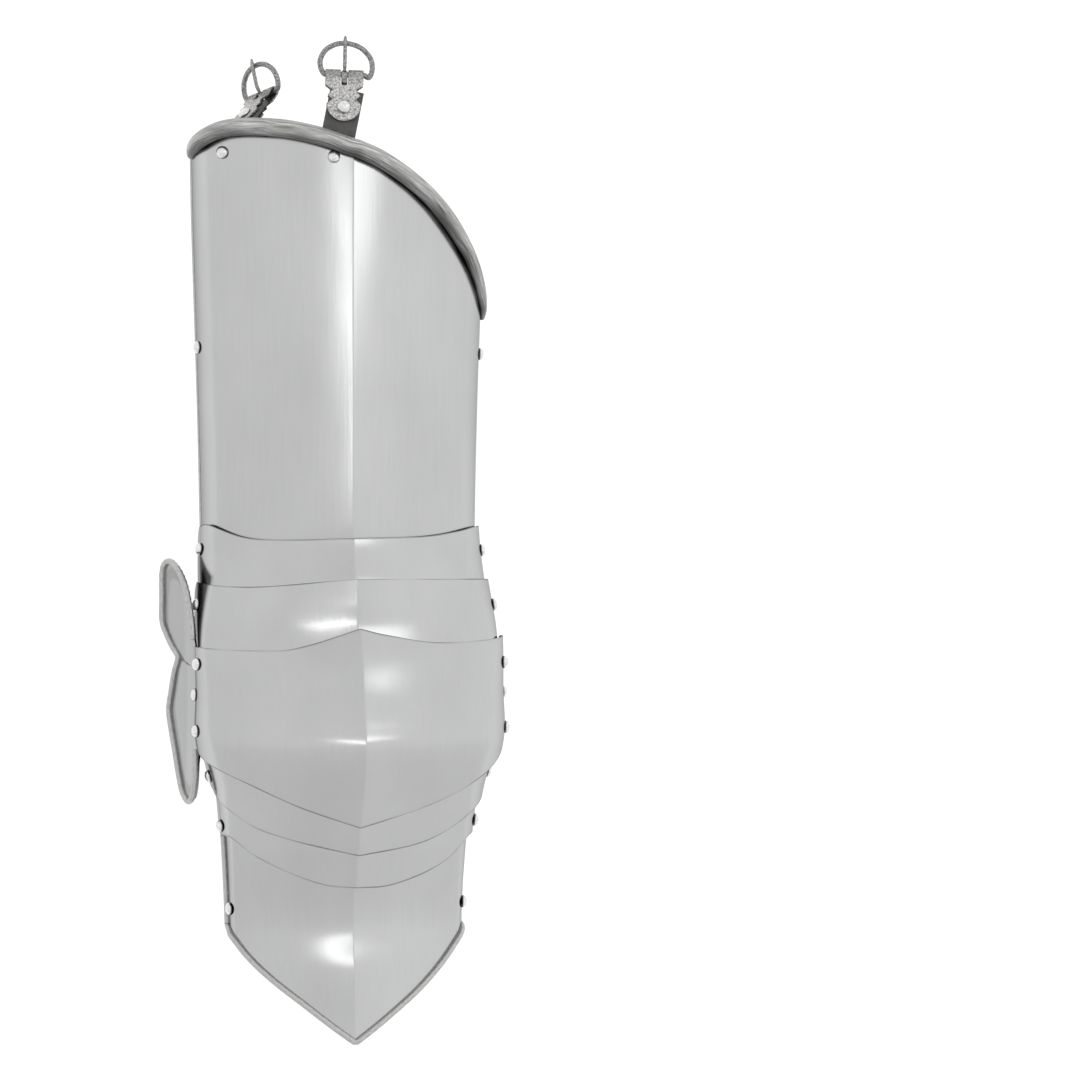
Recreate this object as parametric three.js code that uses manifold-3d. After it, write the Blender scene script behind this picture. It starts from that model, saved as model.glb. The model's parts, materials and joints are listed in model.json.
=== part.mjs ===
// Plate defence for one leg: thigh plate, articulated knee with side wing, short shin plate.
// Millimetres, +Z up. The piece lies on its open back: +Y points to the hip, +X to the inner side
// of the leg, +Z is the front of the leg. The origin is under the middle of the whole piece.
import * as THREE from "three";
import { mergeVertices } from "three/addons/utils/BufferGeometryUtils.js";
import Module from "manifold-3d";

const wasm = await Module();
wasm.setup();

// Driving dimensions: sheet thickness, unit of the way down a side wall and roundness of the arches
const SHEET = 1.2;
const WALL_UNIT = 100;
const SWELL = 50;
const WALL_STEPS = [0.6, 1];

const RIVET = {
  head: 4, dome: 3.1, shank: 1.6, hole: 2.05, seat: 0.35, inner: 3.2, tail: 1.3, under: 0.95,
  rim: 0.7, shoulder: 0.72, shoulderRise: 0.7, holeLength: 24, sides: 8,
};

// Rolled hip edge from its outer end (0) to its inner end (1): radius, lift of its centre
const HIP_ROLL = [
  { at: 0, radius: 3.1, lift: 0.9 }, { at: 0.14, radius: 5.2, lift: 4.4 },
  { at: 0.7, radius: 5.3, lift: 4.6 }, { at: 0.86, radius: 3.7, lift: 3.1 },
  { at: 1, radius: 2.2, lift: 1.6 },
];
const ROLL = { tipZ: 4, steps: 16, sides: 7 };
const SIDE_BEAD = 1.5;
const SHIN_BEAD = 2;
const SHIN_BEAD_LIFT = 1.3;
const BEAD_LOW = 92;
const WING_BEAD = 2;
const WING = { hingeX: -97.4, hingeZ: 44, flare: 0.35 };

const STRAP = { thick: 2.5 };
const SLIDE = { length: 12, wall: 1.6, gap: 0.5, x: -34 };

const TAB = { width: 21.4, thick: 3, tail: 9, flat: 3, grip: 10, end: 9.5, steps: 5 };
const CHAPE = { leaf: 1.2, half: 12, reach: 21, slot: 4.8, slotDepth: 7, rivetHead: 4.3 };
const RING = { wire: 1.7, half: 16.6, height: 20, steps: 22, sides: 6 };
const PRONG = {
  radius: 1.2, tip: 0.75, neck: 0.65, reach: 24, bend: 6, taper: 3, eye: 3.4, eyeHalf: 2, seat: 0.35,
};

// The crease-topped arch of each plate at a few stations along the leg.
// half: half width, side: height where the side wall starts, ridge: height of the crease,
// rear: height of the side wall's rear edge
const THIGH_ARCH = [
  { y: 366, half: 95.5, side: 8, ridge: 58, rear: 1.5 },
  { y: 306, half: 94.4, side: 8, ridge: 58, rear: 1.5 },
  { y: 182, half: 90.2, side: 8, ridge: 58, rear: 1.5 },
  { y: 105, half: 88.2, side: 10, ridge: 58, rear: 1.5 },
  { y: 78, half: 87.6, side: 14, ridge: 56, rear: 6 },
];
const UPPER_1_ARCH = [
  { y: 107, half: 90.4, side: 12, ridge: 59.5, rear: 5 },
  { y: 90, half: 90.8, side: 16, ridge: 62, rear: 6 },
  { y: 72, half: 91.4, side: 24, ridge: 67.5, rear: 12 },
  { y: 57, half: 91.6, side: 32, ridge: 69.5, rear: 18 },
  { y: 45, half: 91.6, side: 38, ridge: 70, rear: 22 },
];
const UPPER_2_ARCH = [
  { y: 72, half: 93.2, side: 26, ridge: 76.3, rear: 18 },
  { y: 55, half: 94.4, side: 35, ridge: 76.6, rear: 22 },
  { y: 41, half: 95.1, side: 43, ridge: 77, rear: 30 },
  { y: 20, half: 95, side: 52, ridge: 80, rear: 42 },
  { y: 8, half: 94.8, side: 56, ridge: 81, rear: 46 },
];
const KNEE_ARCH = [
  { y: 42, half: 98, side: 48, ridge: 85.4, rear: 42 },
  { y: 25, half: 97.4, side: 53, ridge: 92.5, rear: 42 },
  { y: 0, half: 96.8, side: 56, ridge: 99, rear: 42 },
  { y: -20, half: 97.4, side: 57, ridge: 105, rear: 45 },
  { y: -32, half: 96.4, side: 57, ridge: 107.4, rear: 48 },
  { y: -50, half: 92.6, side: 56, ridge: 103.4, rear: 50 },
  { y: -83, half: 85, side: 54, ridge: 86.4, rear: 50 },
];
const LOWER_1_ARCH = [
  { y: -12, half: 95.2, side: 57, ridge: 97, rear: 47 },
  { y: -30, half: 93.2, side: 55, ridge: 96, rear: 42 },
  { y: -50, half: 88, side: 51, ridge: 92, rear: 36 },
  { y: -66, half: 84.6, side: 49, ridge: 88, rear: 36 },
  { y: -100, half: 81, side: 46, ridge: 81, rear: 36 },
];
const LOWER_2_ARCH = [
  { y: -40, half: 86, side: 48, ridge: 88, rear: 36 },
  { y: -60, half: 82.6, side: 46, ridge: 83.5, rear: 34 },
  { y: -82, half: 80.3, side: 44, ridge: 77.6, rear: 34 },
  { y: -100, half: 78.8, side: 42, ridge: 75.5, rear: 36 },
  { y: -121, half: 77.4, side: 40, ridge: 72, rear: 36 },
];
const SHIN_ARCH = [
  { y: -72, half: 77.9, side: 44, ridge: 69, rear: 34 },
  { y: -100, half: 75.4, side: 42, ridge: 67, rear: 30 },
  { y: -143, half: 73.2, side: 39, ridge: 61.5, rear: 29 },
  { y: -172, half: 73, side: 38, ridge: 66, rear: 30 },
  { y: -216, half: 73.4, side: 36, ridge: 70, rear: 30 },
];

// Plate edges as heights along the leg; across runs -1 outer side, 0 crease, 1 inner side
const HIP_EDGE = [
  { across: -1, y: 342 }, { across: -0.84, y: 346.5 }, { across: -0.57, y: 354.5 },
  { across: -0.3, y: 353.8 }, { across: -0.14, y: 349.2 }, { across: 0, y: 341.8 },
  { across: 0.12, y: 334.3 }, { across: 0.33, y: 314.5 }, { across: 0.57, y: 285.2 },
  { across: 0.85, y: 252.5 }, { across: 1, y: 243 },
];
const THIGH_LOW = [{ across: -1, y: 80 }, { across: 0, y: 82 }, { across: 1, y: 80 }];
const UPPER_1_TOP = [
  { across: -1, y: 104 }, { across: -0.8, y: 105.2 }, { across: -0.5, y: 96.9 },
  { across: -0.3, y: 95.1 }, { across: 0, y: 95.8 }, { across: 0.35, y: 98.3 },
  { across: 0.73, y: 104.5 }, { across: 1, y: 106 },
];
const UPPER_1_LOW = [{ across: -1, y: 46 }, { across: 0, y: 58 }, { across: 1, y: 46 }];
const UPPER_2_TOP = [
  { across: -1, y: 68.9 }, { across: -0.45, y: 65.8 }, { across: 0, y: 70.7 }, { across: 1, y: 71 },
];
const UPPER_2_LOW = [{ across: -1, y: 9.5 }, { across: 0, y: 22 }, { across: 1, y: 9.5 }];
const KNEE_TOP = [
  { across: -1, y: 29.2 }, { across: -0.33, y: 26.7 }, { across: -0.19, y: 30.3 },
  { across: 0, y: 39.9 }, { across: 0.08, y: 36.5 }, { across: 0.29, y: 31.4 },
  { across: 0.53, y: 31.8 }, { across: 1, y: 35.1 },
];
const KNEE_LOW = [
  { across: -1, y: -36 }, { across: -0.55, y: -53 }, { across: -0.25, y: -69.6 },
  { across: 0, y: -82.5 }, { across: 0.37, y: -66.5 }, { across: 0.7, y: -49 },
  { across: 1, y: -31 },
];
const LOWER_1_TOP = [
  { across: -1, y: -14.5 }, { across: -0.55, y: -38 }, { across: -0.25, y: -54 },
  { across: 0, y: -67 }, { across: 0.37, y: -52 }, { across: 0.7, y: -35 },
  { across: 1, y: -14.5 },
];
const LOWER_1_LOW = [
  { across: -1, y: -60 }, { across: -0.7, y: -73.7 }, { across: -0.49, y: -84 },
  { across: 0, y: -100.2 }, { across: 0.33, y: -93 }, { across: 0.7, y: -76 },
  { across: 1, y: -63 },
];
const LOWER_2_TOP = [
  { across: -1, y: -43 }, { across: -0.5, y: -69 }, { across: 0, y: -86 },
  { across: 0.33, y: -79 }, { across: 0.7, y: -61 }, { across: 1, y: -43 },
];
const LOWER_2_LOW = [
  { across: -1, y: -89.5 }, { across: -0.77, y: -90 }, { across: -0.53, y: -101.8 },
  { across: -0.15, y: -118.9 }, { across: 0, y: -121.1 }, { across: 0.17, y: -120.3 },
  { across: 0.5, y: -107.8 }, { across: 0.77, y: -93 }, { across: 1, y: -89.5 },
];
const SHIN_TOP = [
  { across: -1, y: -74.5 }, { across: -0.75, y: -78 }, { across: -0.5, y: -90 },
  { across: 0, y: -108 }, { across: 0.5, y: -95 }, { across: 0.75, y: -81 },
  { across: 1, y: -74.5 },
];
const SHIN_LOW = [
  { across: -1, y: -149 }, { across: -0.765, y: -158 }, { across: -0.32, y: -188.2 },
  { across: 0, y: -216.8 }, { across: 0.3, y: -191.9 }, { across: 0.7, y: -162.5 },
  { across: 1, y: -151 },
];

// Each plate: where it bends (arch), its two edges, the roundness of its rear corners, grid rows
const PLATES = {
  thigh_plate: {
    arch: THIGH_ARCH, top: HIP_EDGE, low: THIGH_LOW, topCorner: 0, lowCorner: 9, rows: 5,
  },
  upper_lame_1: {
    arch: UPPER_1_ARCH, top: UPPER_1_TOP, low: UPPER_1_LOW, topCorner: 9, lowCorner: 8, rows: 3,
  },
  upper_lame_2: {
    arch: UPPER_2_ARCH, top: UPPER_2_TOP, low: UPPER_2_LOW, topCorner: 8, lowCorner: 7, rows: 3,
  },
  knee_cop: {
    arch: KNEE_ARCH, top: KNEE_TOP, low: KNEE_LOW, topCorner: 5, lowCorner: 5, rows: 7,
  },
  lower_lame_1: {
    arch: LOWER_1_ARCH, top: LOWER_1_TOP, low: LOWER_1_LOW, topCorner: 7, lowCorner: 8, rows: 3,
  },
  lower_lame_2: {
    arch: LOWER_2_ARCH, top: LOWER_2_TOP, low: LOWER_2_LOW, topCorner: 7, lowCorner: 5, rows: 3,
  },
  shin_plate: {
    arch: SHIN_ARCH, top: SHIN_TOP, low: SHIN_LOW, topCorner: 7, lowCorner: 0, rows: 5,
  },
};
const HALF_COLUMNS = 8;

// Rivets through plate sides: the outer plate, the sheets below it and the place
const PIVOTS = [
  { outer: "upper_lame_1", inner: "thigh_plate", y: 89.7, z: 19 },
  { outer: "upper_lame_2", inner: "upper_lame_1", y: 54.4, z: 37 },
  { outer: "knee_cop", inner: "upper_lame_2", y: 18, z: 58 },
  { outer: "knee_cop", inner: "lower_lame_1", y: -23, z: 60 },
  { outer: "lower_lame_1", inner: "lower_lame_2", y: -51.5, z: 49 },
  { outer: "lower_lame_2", inner: "shin_plate", y: -82.7, z: 45.5 },
];
const STRAPS = [
  { name: "thigh", plate: "thigh_plate", y: 218.7, z: 11, width: 20, seat: 0.9 },
  { name: "knee", plate: "knee_cop", y: -1, z: 53, width: 15, seat: 0.7 },
  { name: "calf", plate: "shin_plate", y: -135.3, z: 40, width: 20, seat: 1.9 },
];

// Hip hangers: place of the tab's rivet, gap behind the plate and lean of the tab's root, sag of
// its edges; place of the chape's rivet, the chape's direction and its width direction; turn of the
// tab's end in the chape, turn of the ring on its bar and slant of its arc (degrees)
const HANGERS = [
  {
    name: "front", x: -12, y: 336.5, seat: 0.9, lean: -10.5, sag: 0.4,
    boltX: -5.5, boltY: 368.1, boltZ: 53.8, alongX: 0.02, alongY: 1, alongZ: 0,
    acrossX: 0.99, acrossY: -0.02, acrossZ: 0.14, endTurn: -10, flip: 0, slant: -9,
  },
  {
    name: "side", x: -79, y: 340.3, seat: 3.2, lean: 0, sag: 7.8,
    boltX: -62.1, boltY: 364.7, boltZ: 26, alongX: 0.49, alongY: 0.75, alongZ: -0.42,
    acrossX: 0.552, acrossY: 0.174, acrossZ: 0.814, endTurn: 0, flip: 50, slant: 0,
  },
];

// Half of each strap's run behind the leg, below its rivet: inset from the wall, height
const STRAP_RUNS = {
  thigh: [{ inset: 3.5, z: 1.9 }, { inset: 30, z: 2.4 }, { inset: 60, z: 5 }, { inset: 80, z: 6 }],
  knee: [{ inset: 1.5, z: 28 }, { inset: 10, z: 11 }, { inset: 27, z: 4.6 }, { inset: 60, z: 4.6 }],
  calf: [{ inset: 2, z: 20 }, { inset: 10, z: 8.6 }, { inset: 25, z: 4.6 }, { inset: 52, z: 4.6 }],
};
const STRAP_STEPS = 16;

// Centre line of the wing's rolled rim: y along the leg, z height, from the front border of the
// upper lobe round the rear to the front border of the lower lobe
const WING_RIM = [
  { y: 33, z: 45 }, { y: 44, z: 43 }, { y: 58, z: 38 }, { y: 69.5, z: 31.5 }, { y: 78.5, z: 21.5 },
  { y: 82, z: 11 }, { y: 78.5, z: 3.5 }, { y: 57.5, z: 2.2 }, { y: 44, z: 2.6 }, { y: 35, z: 9.5 },
  { y: 28, z: 17 }, { y: 21.5, z: 24.8 }, { y: 13.5, z: 20.5 }, { y: 1, z: 16 }, { y: -12, z: 12.4 },
  { y: -24, z: 15.8 }, { y: -37.5, z: 21 }, { y: -50.5, z: 25.7 }, { y: -62.5, z: 31.5 },
  { y: -67.8, z: 39 }, { y: -65.5, z: 44 }, { y: -57, z: 47 }, { y: -46, z: 48.5 }, { y: -35, z: 49 },
];
const WING_STEPS = 23;

const steel = { color: 0xc4c6c8, roughness: 0.3, metalness: 1 };
const darkSteel = { color: 0x6e6b68, roughness: 0.55, metalness: 1 };
const leather = { color: 0x1d1b1a, roughness: 0.7, metalness: 0 };

// Smooth value of one column of a table, along another column of it
function along(table, key, at, value) {
  const rising = table[table.length - 1][key] > table[0][key] ? 1 : -1;
  let i = 0;
  while (i < table.length - 2 && (at - table[i + 1][key]) * rising > 0) {
    i += 1;
  }
  const slope = (a, b) => (table[b][value] - table[a][value]) / (table[b][key] - table[a][key]);
  const tangent = (k) => slope(Math.max(k - 1, 0), Math.min(k + 1, table.length - 1));
  const span = table[i + 1][key] - table[i][key];
  const t = THREE.MathUtils.clamp((at - table[i][key]) / span, 0, 1);
  const bend = (2 * t ** 3 - 3 * t ** 2 + 1) * table[i][value]
    + (3 * t ** 2 - 2 * t ** 3) * table[i + 1][value];
  return bend + span * ((t ** 3 - 2 * t ** 2 + t) * tangent(i) + (t ** 3 - t ** 2) * tangent(i + 1));
}

// An edge with a corner at the crease is smooth on each side of it only
function edgeHeight(edge, across) {
  const crease = edge.findIndex((row) => row.across === 0);
  const part = across < 0 ? edge.slice(0, crease + 1) : edge.slice(crease);
  return along(part, "across", across, "y");
}

// Middle of the sheet. across beyond 1 runs down the side wall, in units of WALL_UNIT
function onPlate(plate, across, y) {
  const half = along(plate.arch, "y", y, "half");
  const side = along(plate.arch, "y", y, "side");
  const ridge = along(plate.arch, "y", y, "ridge");
  const sweep = Math.acos(SWELL / (half + SWELL));
  const turn = sweep * (1 - Math.min(Math.abs(across), 1));
  const x = (half + SWELL) * Math.cos(turn) - SWELL;
  const drop = Math.max(Math.abs(across) - 1, 0) * WALL_UNIT;
  const rise = (ridge - side) * Math.sin(turn) / Math.sin(sweep);
  return new THREE.Vector3(Math.sign(across) * x, y, side + rise - drop);
}

function plateNormal(plate, across, y) {
  const step = 0.004;
  const side = across < 0 ? -1 : 1;
  const a = Math.abs(across) < step ? side * step : across;
  const run = onPlate(plate, a + step, y).sub(onPlate(plate, a - step, y));
  const rise = onPlate(plate, a, y + 1).sub(onPlate(plate, a, y - 1));
  return run.cross(rise).normalize();
}

// Across value of the wall point at a height z
function acrossAtHeight(plate, side, y, z) {
  let low = 0.5;
  let high = 1.6;
  for (let i = 0; i < 40; i += 1) {
    const mid = (low + high) / 2;
    if (onPlate(plate, mid, y).z > z) {
      low = mid;
    } else {
      high = mid;
    }
  }
  return side * low;
}

// Grid of sheet-middle positions: columns cross the leg, rows run along it
function plateGrid(plate) {
  const columns = [];
  for (let i = -HALF_COLUMNS; i <= HALF_COLUMNS; i += 1) {
    columns.push({ across: i / HALF_COLUMNS, wall: 0 });
  }
  for (const wall of WALL_STEPS) {
    columns.push({ across: 1, wall });
    columns.unshift({ across: -1, wall });
  }
  return columns.map(({ across, wall }) => {
    const round = 1 - Math.sqrt(1 - Math.min(wall, 1) ** 2);
    const low = edgeHeight(plate.low, across) + plate.lowCorner * round;
    const top = edgeHeight(plate.top, across) - plate.topCorner * round;
    return Array.from({ length: plate.rows + 1 }, (_, j) => {
      const y = low + (top - low) * j / plate.rows;
      const depth = along(plate.arch, "y", y, "side") - along(plate.arch, "y", y, "rear");
      return { across: across + Math.sign(across) * wall * depth / WALL_UNIT, y };
    });
  });
}

// Closed solid from a grid of points on its two faces
function slab(front, back) {
  const columns = front.length;
  const rows = front[0].length;
  const positions = [...front.flat(), ...back.flat()].flatMap((p) => [p.x, p.y, p.z]);
  const at = (face, i, j) => face * columns * rows + i * rows + j;
  const index = [];
  const quad = (a, b, c, d) => index.push(a, b, c, a, c, d);
  for (let i = 0; i < columns - 1; i += 1) {
    for (let j = 0; j < rows - 1; j += 1) {
      quad(at(0, i, j), at(0, i + 1, j), at(0, i + 1, j + 1), at(0, i, j + 1));
      quad(at(1, i, j), at(1, i, j + 1), at(1, i + 1, j + 1), at(1, i + 1, j));
    }
    quad(at(0, i, 0), at(1, i, 0), at(1, i + 1, 0), at(0, i + 1, 0));
    quad(at(0, i, rows - 1), at(0, i + 1, rows - 1), at(1, i + 1, rows - 1), at(1, i, rows - 1));
  }
  for (let j = 0; j < rows - 1; j += 1) {
    quad(at(0, 0, j), at(0, 0, j + 1), at(1, 0, j + 1), at(1, 0, j));
    const last = columns - 1;
    quad(at(0, last, j), at(1, last, j), at(1, last, j + 1), at(0, last, j + 1));
  }
  const geometry = new THREE.BufferGeometry();
  geometry.setAttribute("position", new THREE.Float32BufferAttribute(positions, 3));
  geometry.setIndex(index);
  return geometry;
}

function plateGeometry(plate) {
  const grid = plateGrid(plate);
  const offset = (lift) => grid.map((column) => column.map(({ across, y }) => {
    const normal = plateNormal(plate, across, y);
    if (Math.abs(across) < 1e-6) {
      normal.x = 0;
    }
    return onPlate(plate, across, y).addScaledVector(normal, lift);
  }));
  return slab(offset(SHEET / 2), offset(-SHEET / 2));
}

// Round bar along points, with its own radius at each; closed ends, or a ring when closed
function bar(points, radiusAt, sides, closed = false) {
  const count = points.length;
  const rings = points.map((point, i) => {
    const before = points[closed ? (i + count - 1) % count : Math.max(i - 1, 0)];
    const after = points[closed ? (i + 1) % count : Math.min(i + 1, count - 1)];
    return { point, direction: after.clone().sub(before).normalize() };
  });
  let side = new THREE.Vector3(0.31, 0.17, 0.93).cross(rings[0].direction).normalize();
  const positions = [];
  rings.forEach(({ point, direction }, i) => {
    side = side.clone().addScaledVector(direction, -side.dot(direction)).normalize();
    const up = direction.clone().cross(side);
    for (let k = 0; k < sides; k += 1) {
      const turn = 2 * Math.PI * k / sides;
      const spoke = side.clone().multiplyScalar(Math.cos(turn)).addScaledVector(up, Math.sin(turn));
      positions.push(...point.clone().addScaledVector(spoke, radiusAt(i / (count - 1))).toArray());
    }
  });
  const index = [];
  for (let i = 0; i < (closed ? count : count - 1); i += 1) {
    const next = (i + 1) % count;
    for (let k = 0; k < sides; k += 1) {
      const l = (k + 1) % sides;
      index.push(i * sides + k, i * sides + l, next * sides + l);
      index.push(i * sides + k, next * sides + l, next * sides + k);
    }
  }
  if (!closed) {
    for (let k = 1; k < sides - 1; k += 1) {
      const last = (count - 1) * sides;
      index.push(0, k + 1, k, last, last + k, last + k + 1);
    }
  }
  const geometry = new THREE.BufferGeometry();
  geometry.setAttribute("position", new THREE.Float32BufferAttribute(positions, 3));
  geometry.setIndex(index);
  return geometry;
}

// Solids for joining and cutting
function solid(geometry) {
  const bare = geometry.clone();
  bare.deleteAttribute("normal");
  bare.deleteAttribute("uv");
  const merged = mergeVertices(bare, 1e-4);
  return new wasm.Manifold(new wasm.Mesh({
    numProp: 3,
    vertProperties: new Float32Array(merged.attributes.position.array),
    triVerts: new Uint32Array(merged.index.array),
  }));
}

function geometryOf(body) {
  const mesh = body.getMesh();
  const geometry = new THREE.BufferGeometry();
  geometry.setAttribute("position", new THREE.BufferAttribute(mesh.vertProperties, 3));
  geometry.setIndex(new THREE.BufferAttribute(mesh.triVerts, 1));
  return geometry;
}

const model = new THREE.Group();

function addPart(name, geometry, look) {
  const mesh = new THREE.Mesh(geometry, new THREE.MeshStandardMaterial(look));
  mesh.name = name;
  model.add(mesh);
}

// Rivets

// Turned about Y: a dome on the base, a shank, and a low head under the foot
function rivetGeometry(base, foot, head) {
  const profile = [
    [0, base + RIVET.dome],
    [head * RIVET.shoulder, base + RIVET.dome * RIVET.shoulderRise],
    [head, base],
    [RIVET.shank, base], [RIVET.shank, foot], [RIVET.inner, foot], [0, foot - RIVET.tail],
  ];
  const points = profile.map(([radius, height]) => new THREE.Vector2(radius, height)).reverse();
  return geometryOf(solid(new THREE.LatheGeometry(points, RIVET.sides)));
}

function rivetFrame(place, normal) {
  const turn = new THREE.Quaternion().setFromUnitVectors(new THREE.Vector3(0, 1, 0), normal);
  return new THREE.Matrix4().compose(place, turn, new THREE.Vector3(1, 1, 1));
}

const holes = new Map(Object.keys(PLATES).map((name) => [name, []]));
const rivets = [];

function drill(name, frame) {
  const cutter = new THREE.CylinderGeometry(RIVET.hole, RIVET.hole, RIVET.holeLength, RIVET.sides);
  holes.get(name).push(solid(cutter.applyMatrix4(frame)));
}

// How far the sheet's face reaches along a direction, all round a rivet
function faceReach(name, side, y, z, face, place, normal, radius) {
  const plate = PLATES[name];
  const reaches = [];
  for (let k = 0; k < RIVET.sides; k += 1) {
    const turn = 2 * Math.PI * k / RIVET.sides;
    const nearY = y + radius * Math.cos(turn);
    const across = acrossAtHeight(plate, side, nearY, z + radius * Math.sin(turn));
    const point = onPlate(plate, across, nearY);
    point.addScaledVector(plateNormal(plate, across, nearY), face * SHEET / 2);
    reaches.push(point.sub(place).dot(normal));
  }
  return face > 0 ? Math.max(...reaches) : Math.min(...reaches);
}

function setRivet(name, outer, inner, side, y, z, backing) {
  const across = acrossAtHeight(PLATES[outer], side, y, z);
  const place = onPlate(PLATES[outer], across, y);
  const normal = plateNormal(PLATES[outer], across, y);
  const frame = rivetFrame(place, normal);
  const base = faceReach(outer, side, y, z, 1, place, normal, RIVET.head) + RIVET.seat;
  const below = inner ?? outer;
  const around = RIVET.inner + RIVET.rim;
  const foot = faceReach(below, side, y, z, -1, place, normal, around) - RIVET.under - backing;
  drill(outer, frame);
  if (inner) {
    drill(inner, frame);
  }
  rivets.push({ name, geometry: rivetGeometry(base, foot, RIVET.head).applyMatrix4(frame) });
}

for (const [side, word] of [[-1, "outer"], [1, "inner"]]) {
  PIVOTS.forEach(({ outer, inner, y, z }, i) => {
    setRivet(`pivot_rivet_${i + 1}_${word}`, outer, inner, side, y, z, 0);
  });
  STRAPS.forEach(({ name, plate, y, z, seat }) => {
    setRivet(`${name}_strap_rivet_${word}`, plate, null, side, y, z, STRAP.thick + seat);
  });
}

// Plates

function rimPoints(plate, side, from, to, steps, lift, height) {
  return Array.from({ length: steps + 1 }, (_, i) => {
    const y = from + (to - from) * i / steps;
    return new THREE.Vector3(side * (along(plate.arch, "y", y, "half") + lift), y, height(y));
  });
}

function edgePoints(plate, edge, liftAt, steps) {
  return Array.from({ length: steps + 1 }, (_, i) => {
    const across = -1 + 2 * i / steps;
    const y = edgeHeight(edge, across);
    return onPlate(plate, across, y).addScaledVector(plateNormal(plate, across, y), liftAt(i / steps));
  });
}

function thighExtras() {
  const plate = PLATES.thigh_plate;
  const roll = edgePoints(plate, HIP_EDGE, (t) => along(HIP_ROLL, "at", t, "lift"), ROLL.steps);
  const tip = (side, lift) => {
    const y = edgeHeight(HIP_EDGE, side);
    const at = acrossAtHeight(plate, side, y, ROLL.tipZ);
    return onPlate(plate, at, y).addScaledVector(plateNormal(plate, at, y), lift);
  };
  const line = [tip(-1, HIP_ROLL[0].lift), ...roll, tip(1, HIP_ROLL.at(-1).lift)];
  const parts = [bar(line, (t) => along(HIP_ROLL, "at", t, "radius"), ROLL.sides)];
  for (const side of [-1, 1]) {
    const top = edgeHeight(HIP_EDGE, side);
    const bead = rimPoints(plate, side, BEAD_LOW, top, 4, 0, () => SIDE_BEAD);
    parts.push(bar(bead, () => SIDE_BEAD, 6));
  }
  return parts;
}

function shinExtras() {
  const plate = PLATES.shin_plate;
  const rear = (y) => along(plate.arch, "y", y, "rear");
  const left = rimPoints(plate, -1, -90, -144, 2, SHIN_BEAD_LIFT, rear);
  const right = rimPoints(plate, 1, -145, -90, 2, SHIN_BEAD_LIFT, rear);
  const low = edgePoints(plate, SHIN_LOW, () => SHIN_BEAD_LIFT, 10);
  return [bar([...left, ...low, ...right], () => SHIN_BEAD, 6)];
}

function onWing({ y, z }) {
  return new THREE.Vector3(WING.hingeX - (WING.hingeZ - z) * WING.flare, y, z);
}

function wingParts() {
  const line = new THREE.CatmullRomCurve3(WING_RIM.map(onWing), false, "centripetal");
  const rim = line.getPoints(WING_STEPS);
  const tilt = Math.hypot(1, WING.flare);
  const outline = new THREE.Shape(rim.map((p) => new THREE.Vector2(p.y, (p.z - WING.hingeZ) * tilt)));
  const sheet = new THREE.ExtrudeGeometry(outline, { depth: SHEET, bevelEnabled: false });
  const toLeg = new THREE.Matrix4().makeBasis(
    new THREE.Vector3(0, 1, 0),
    new THREE.Vector3(WING.flare, 0, 1).normalize(),
    new THREE.Vector3(1, 0, -WING.flare).normalize(),
  );
  toLeg.setPosition(WING.hingeX - SHEET / 2, 0, WING.hingeZ);
  const outward = new THREE.Vector3(-1, 0, WING.flare).normalize();
  const raised = rim.map((p) => p.clone().addScaledVector(outward, WING_BEAD - SHEET / 2));
  return [sheet.applyMatrix4(toLeg), bar(raised, () => WING_BEAD, 6)];
}

// Outline with its points given as [x, y] pairs
function outlineShape(pairs) {
  return new THREE.Shape(pairs.map(([x, y]) => new THREE.Vector2(x, y)));
}

function extruded(shape, depth) {
  const geometry = new THREE.ExtrudeGeometry(shape, { depth, bevelEnabled: false, curveSegments: 6 });
  return geometry.translate(0, 0, -depth / 2);
}

// A strip whose middle line lies in a plane, given both its faces
function stripShape(line, thick) {
  const faces = [1, -1].map((face) => line.map((p, i) => {
    const before = line[Math.max(i - 1, 0)];
    const after = line[Math.min(i + 1, line.length - 1)];
    const run = after.clone().sub(before).normalize();
    return new THREE.Vector2(p.x - run.y * face * thick / 2, p.y + run.x * face * thick / 2);
  }));
  return new THREE.Shape([...faces[0], ...faces[1].reverse()]);
}

// Straps: each hangs from its two side rivets and goes round behind the leg

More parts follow.
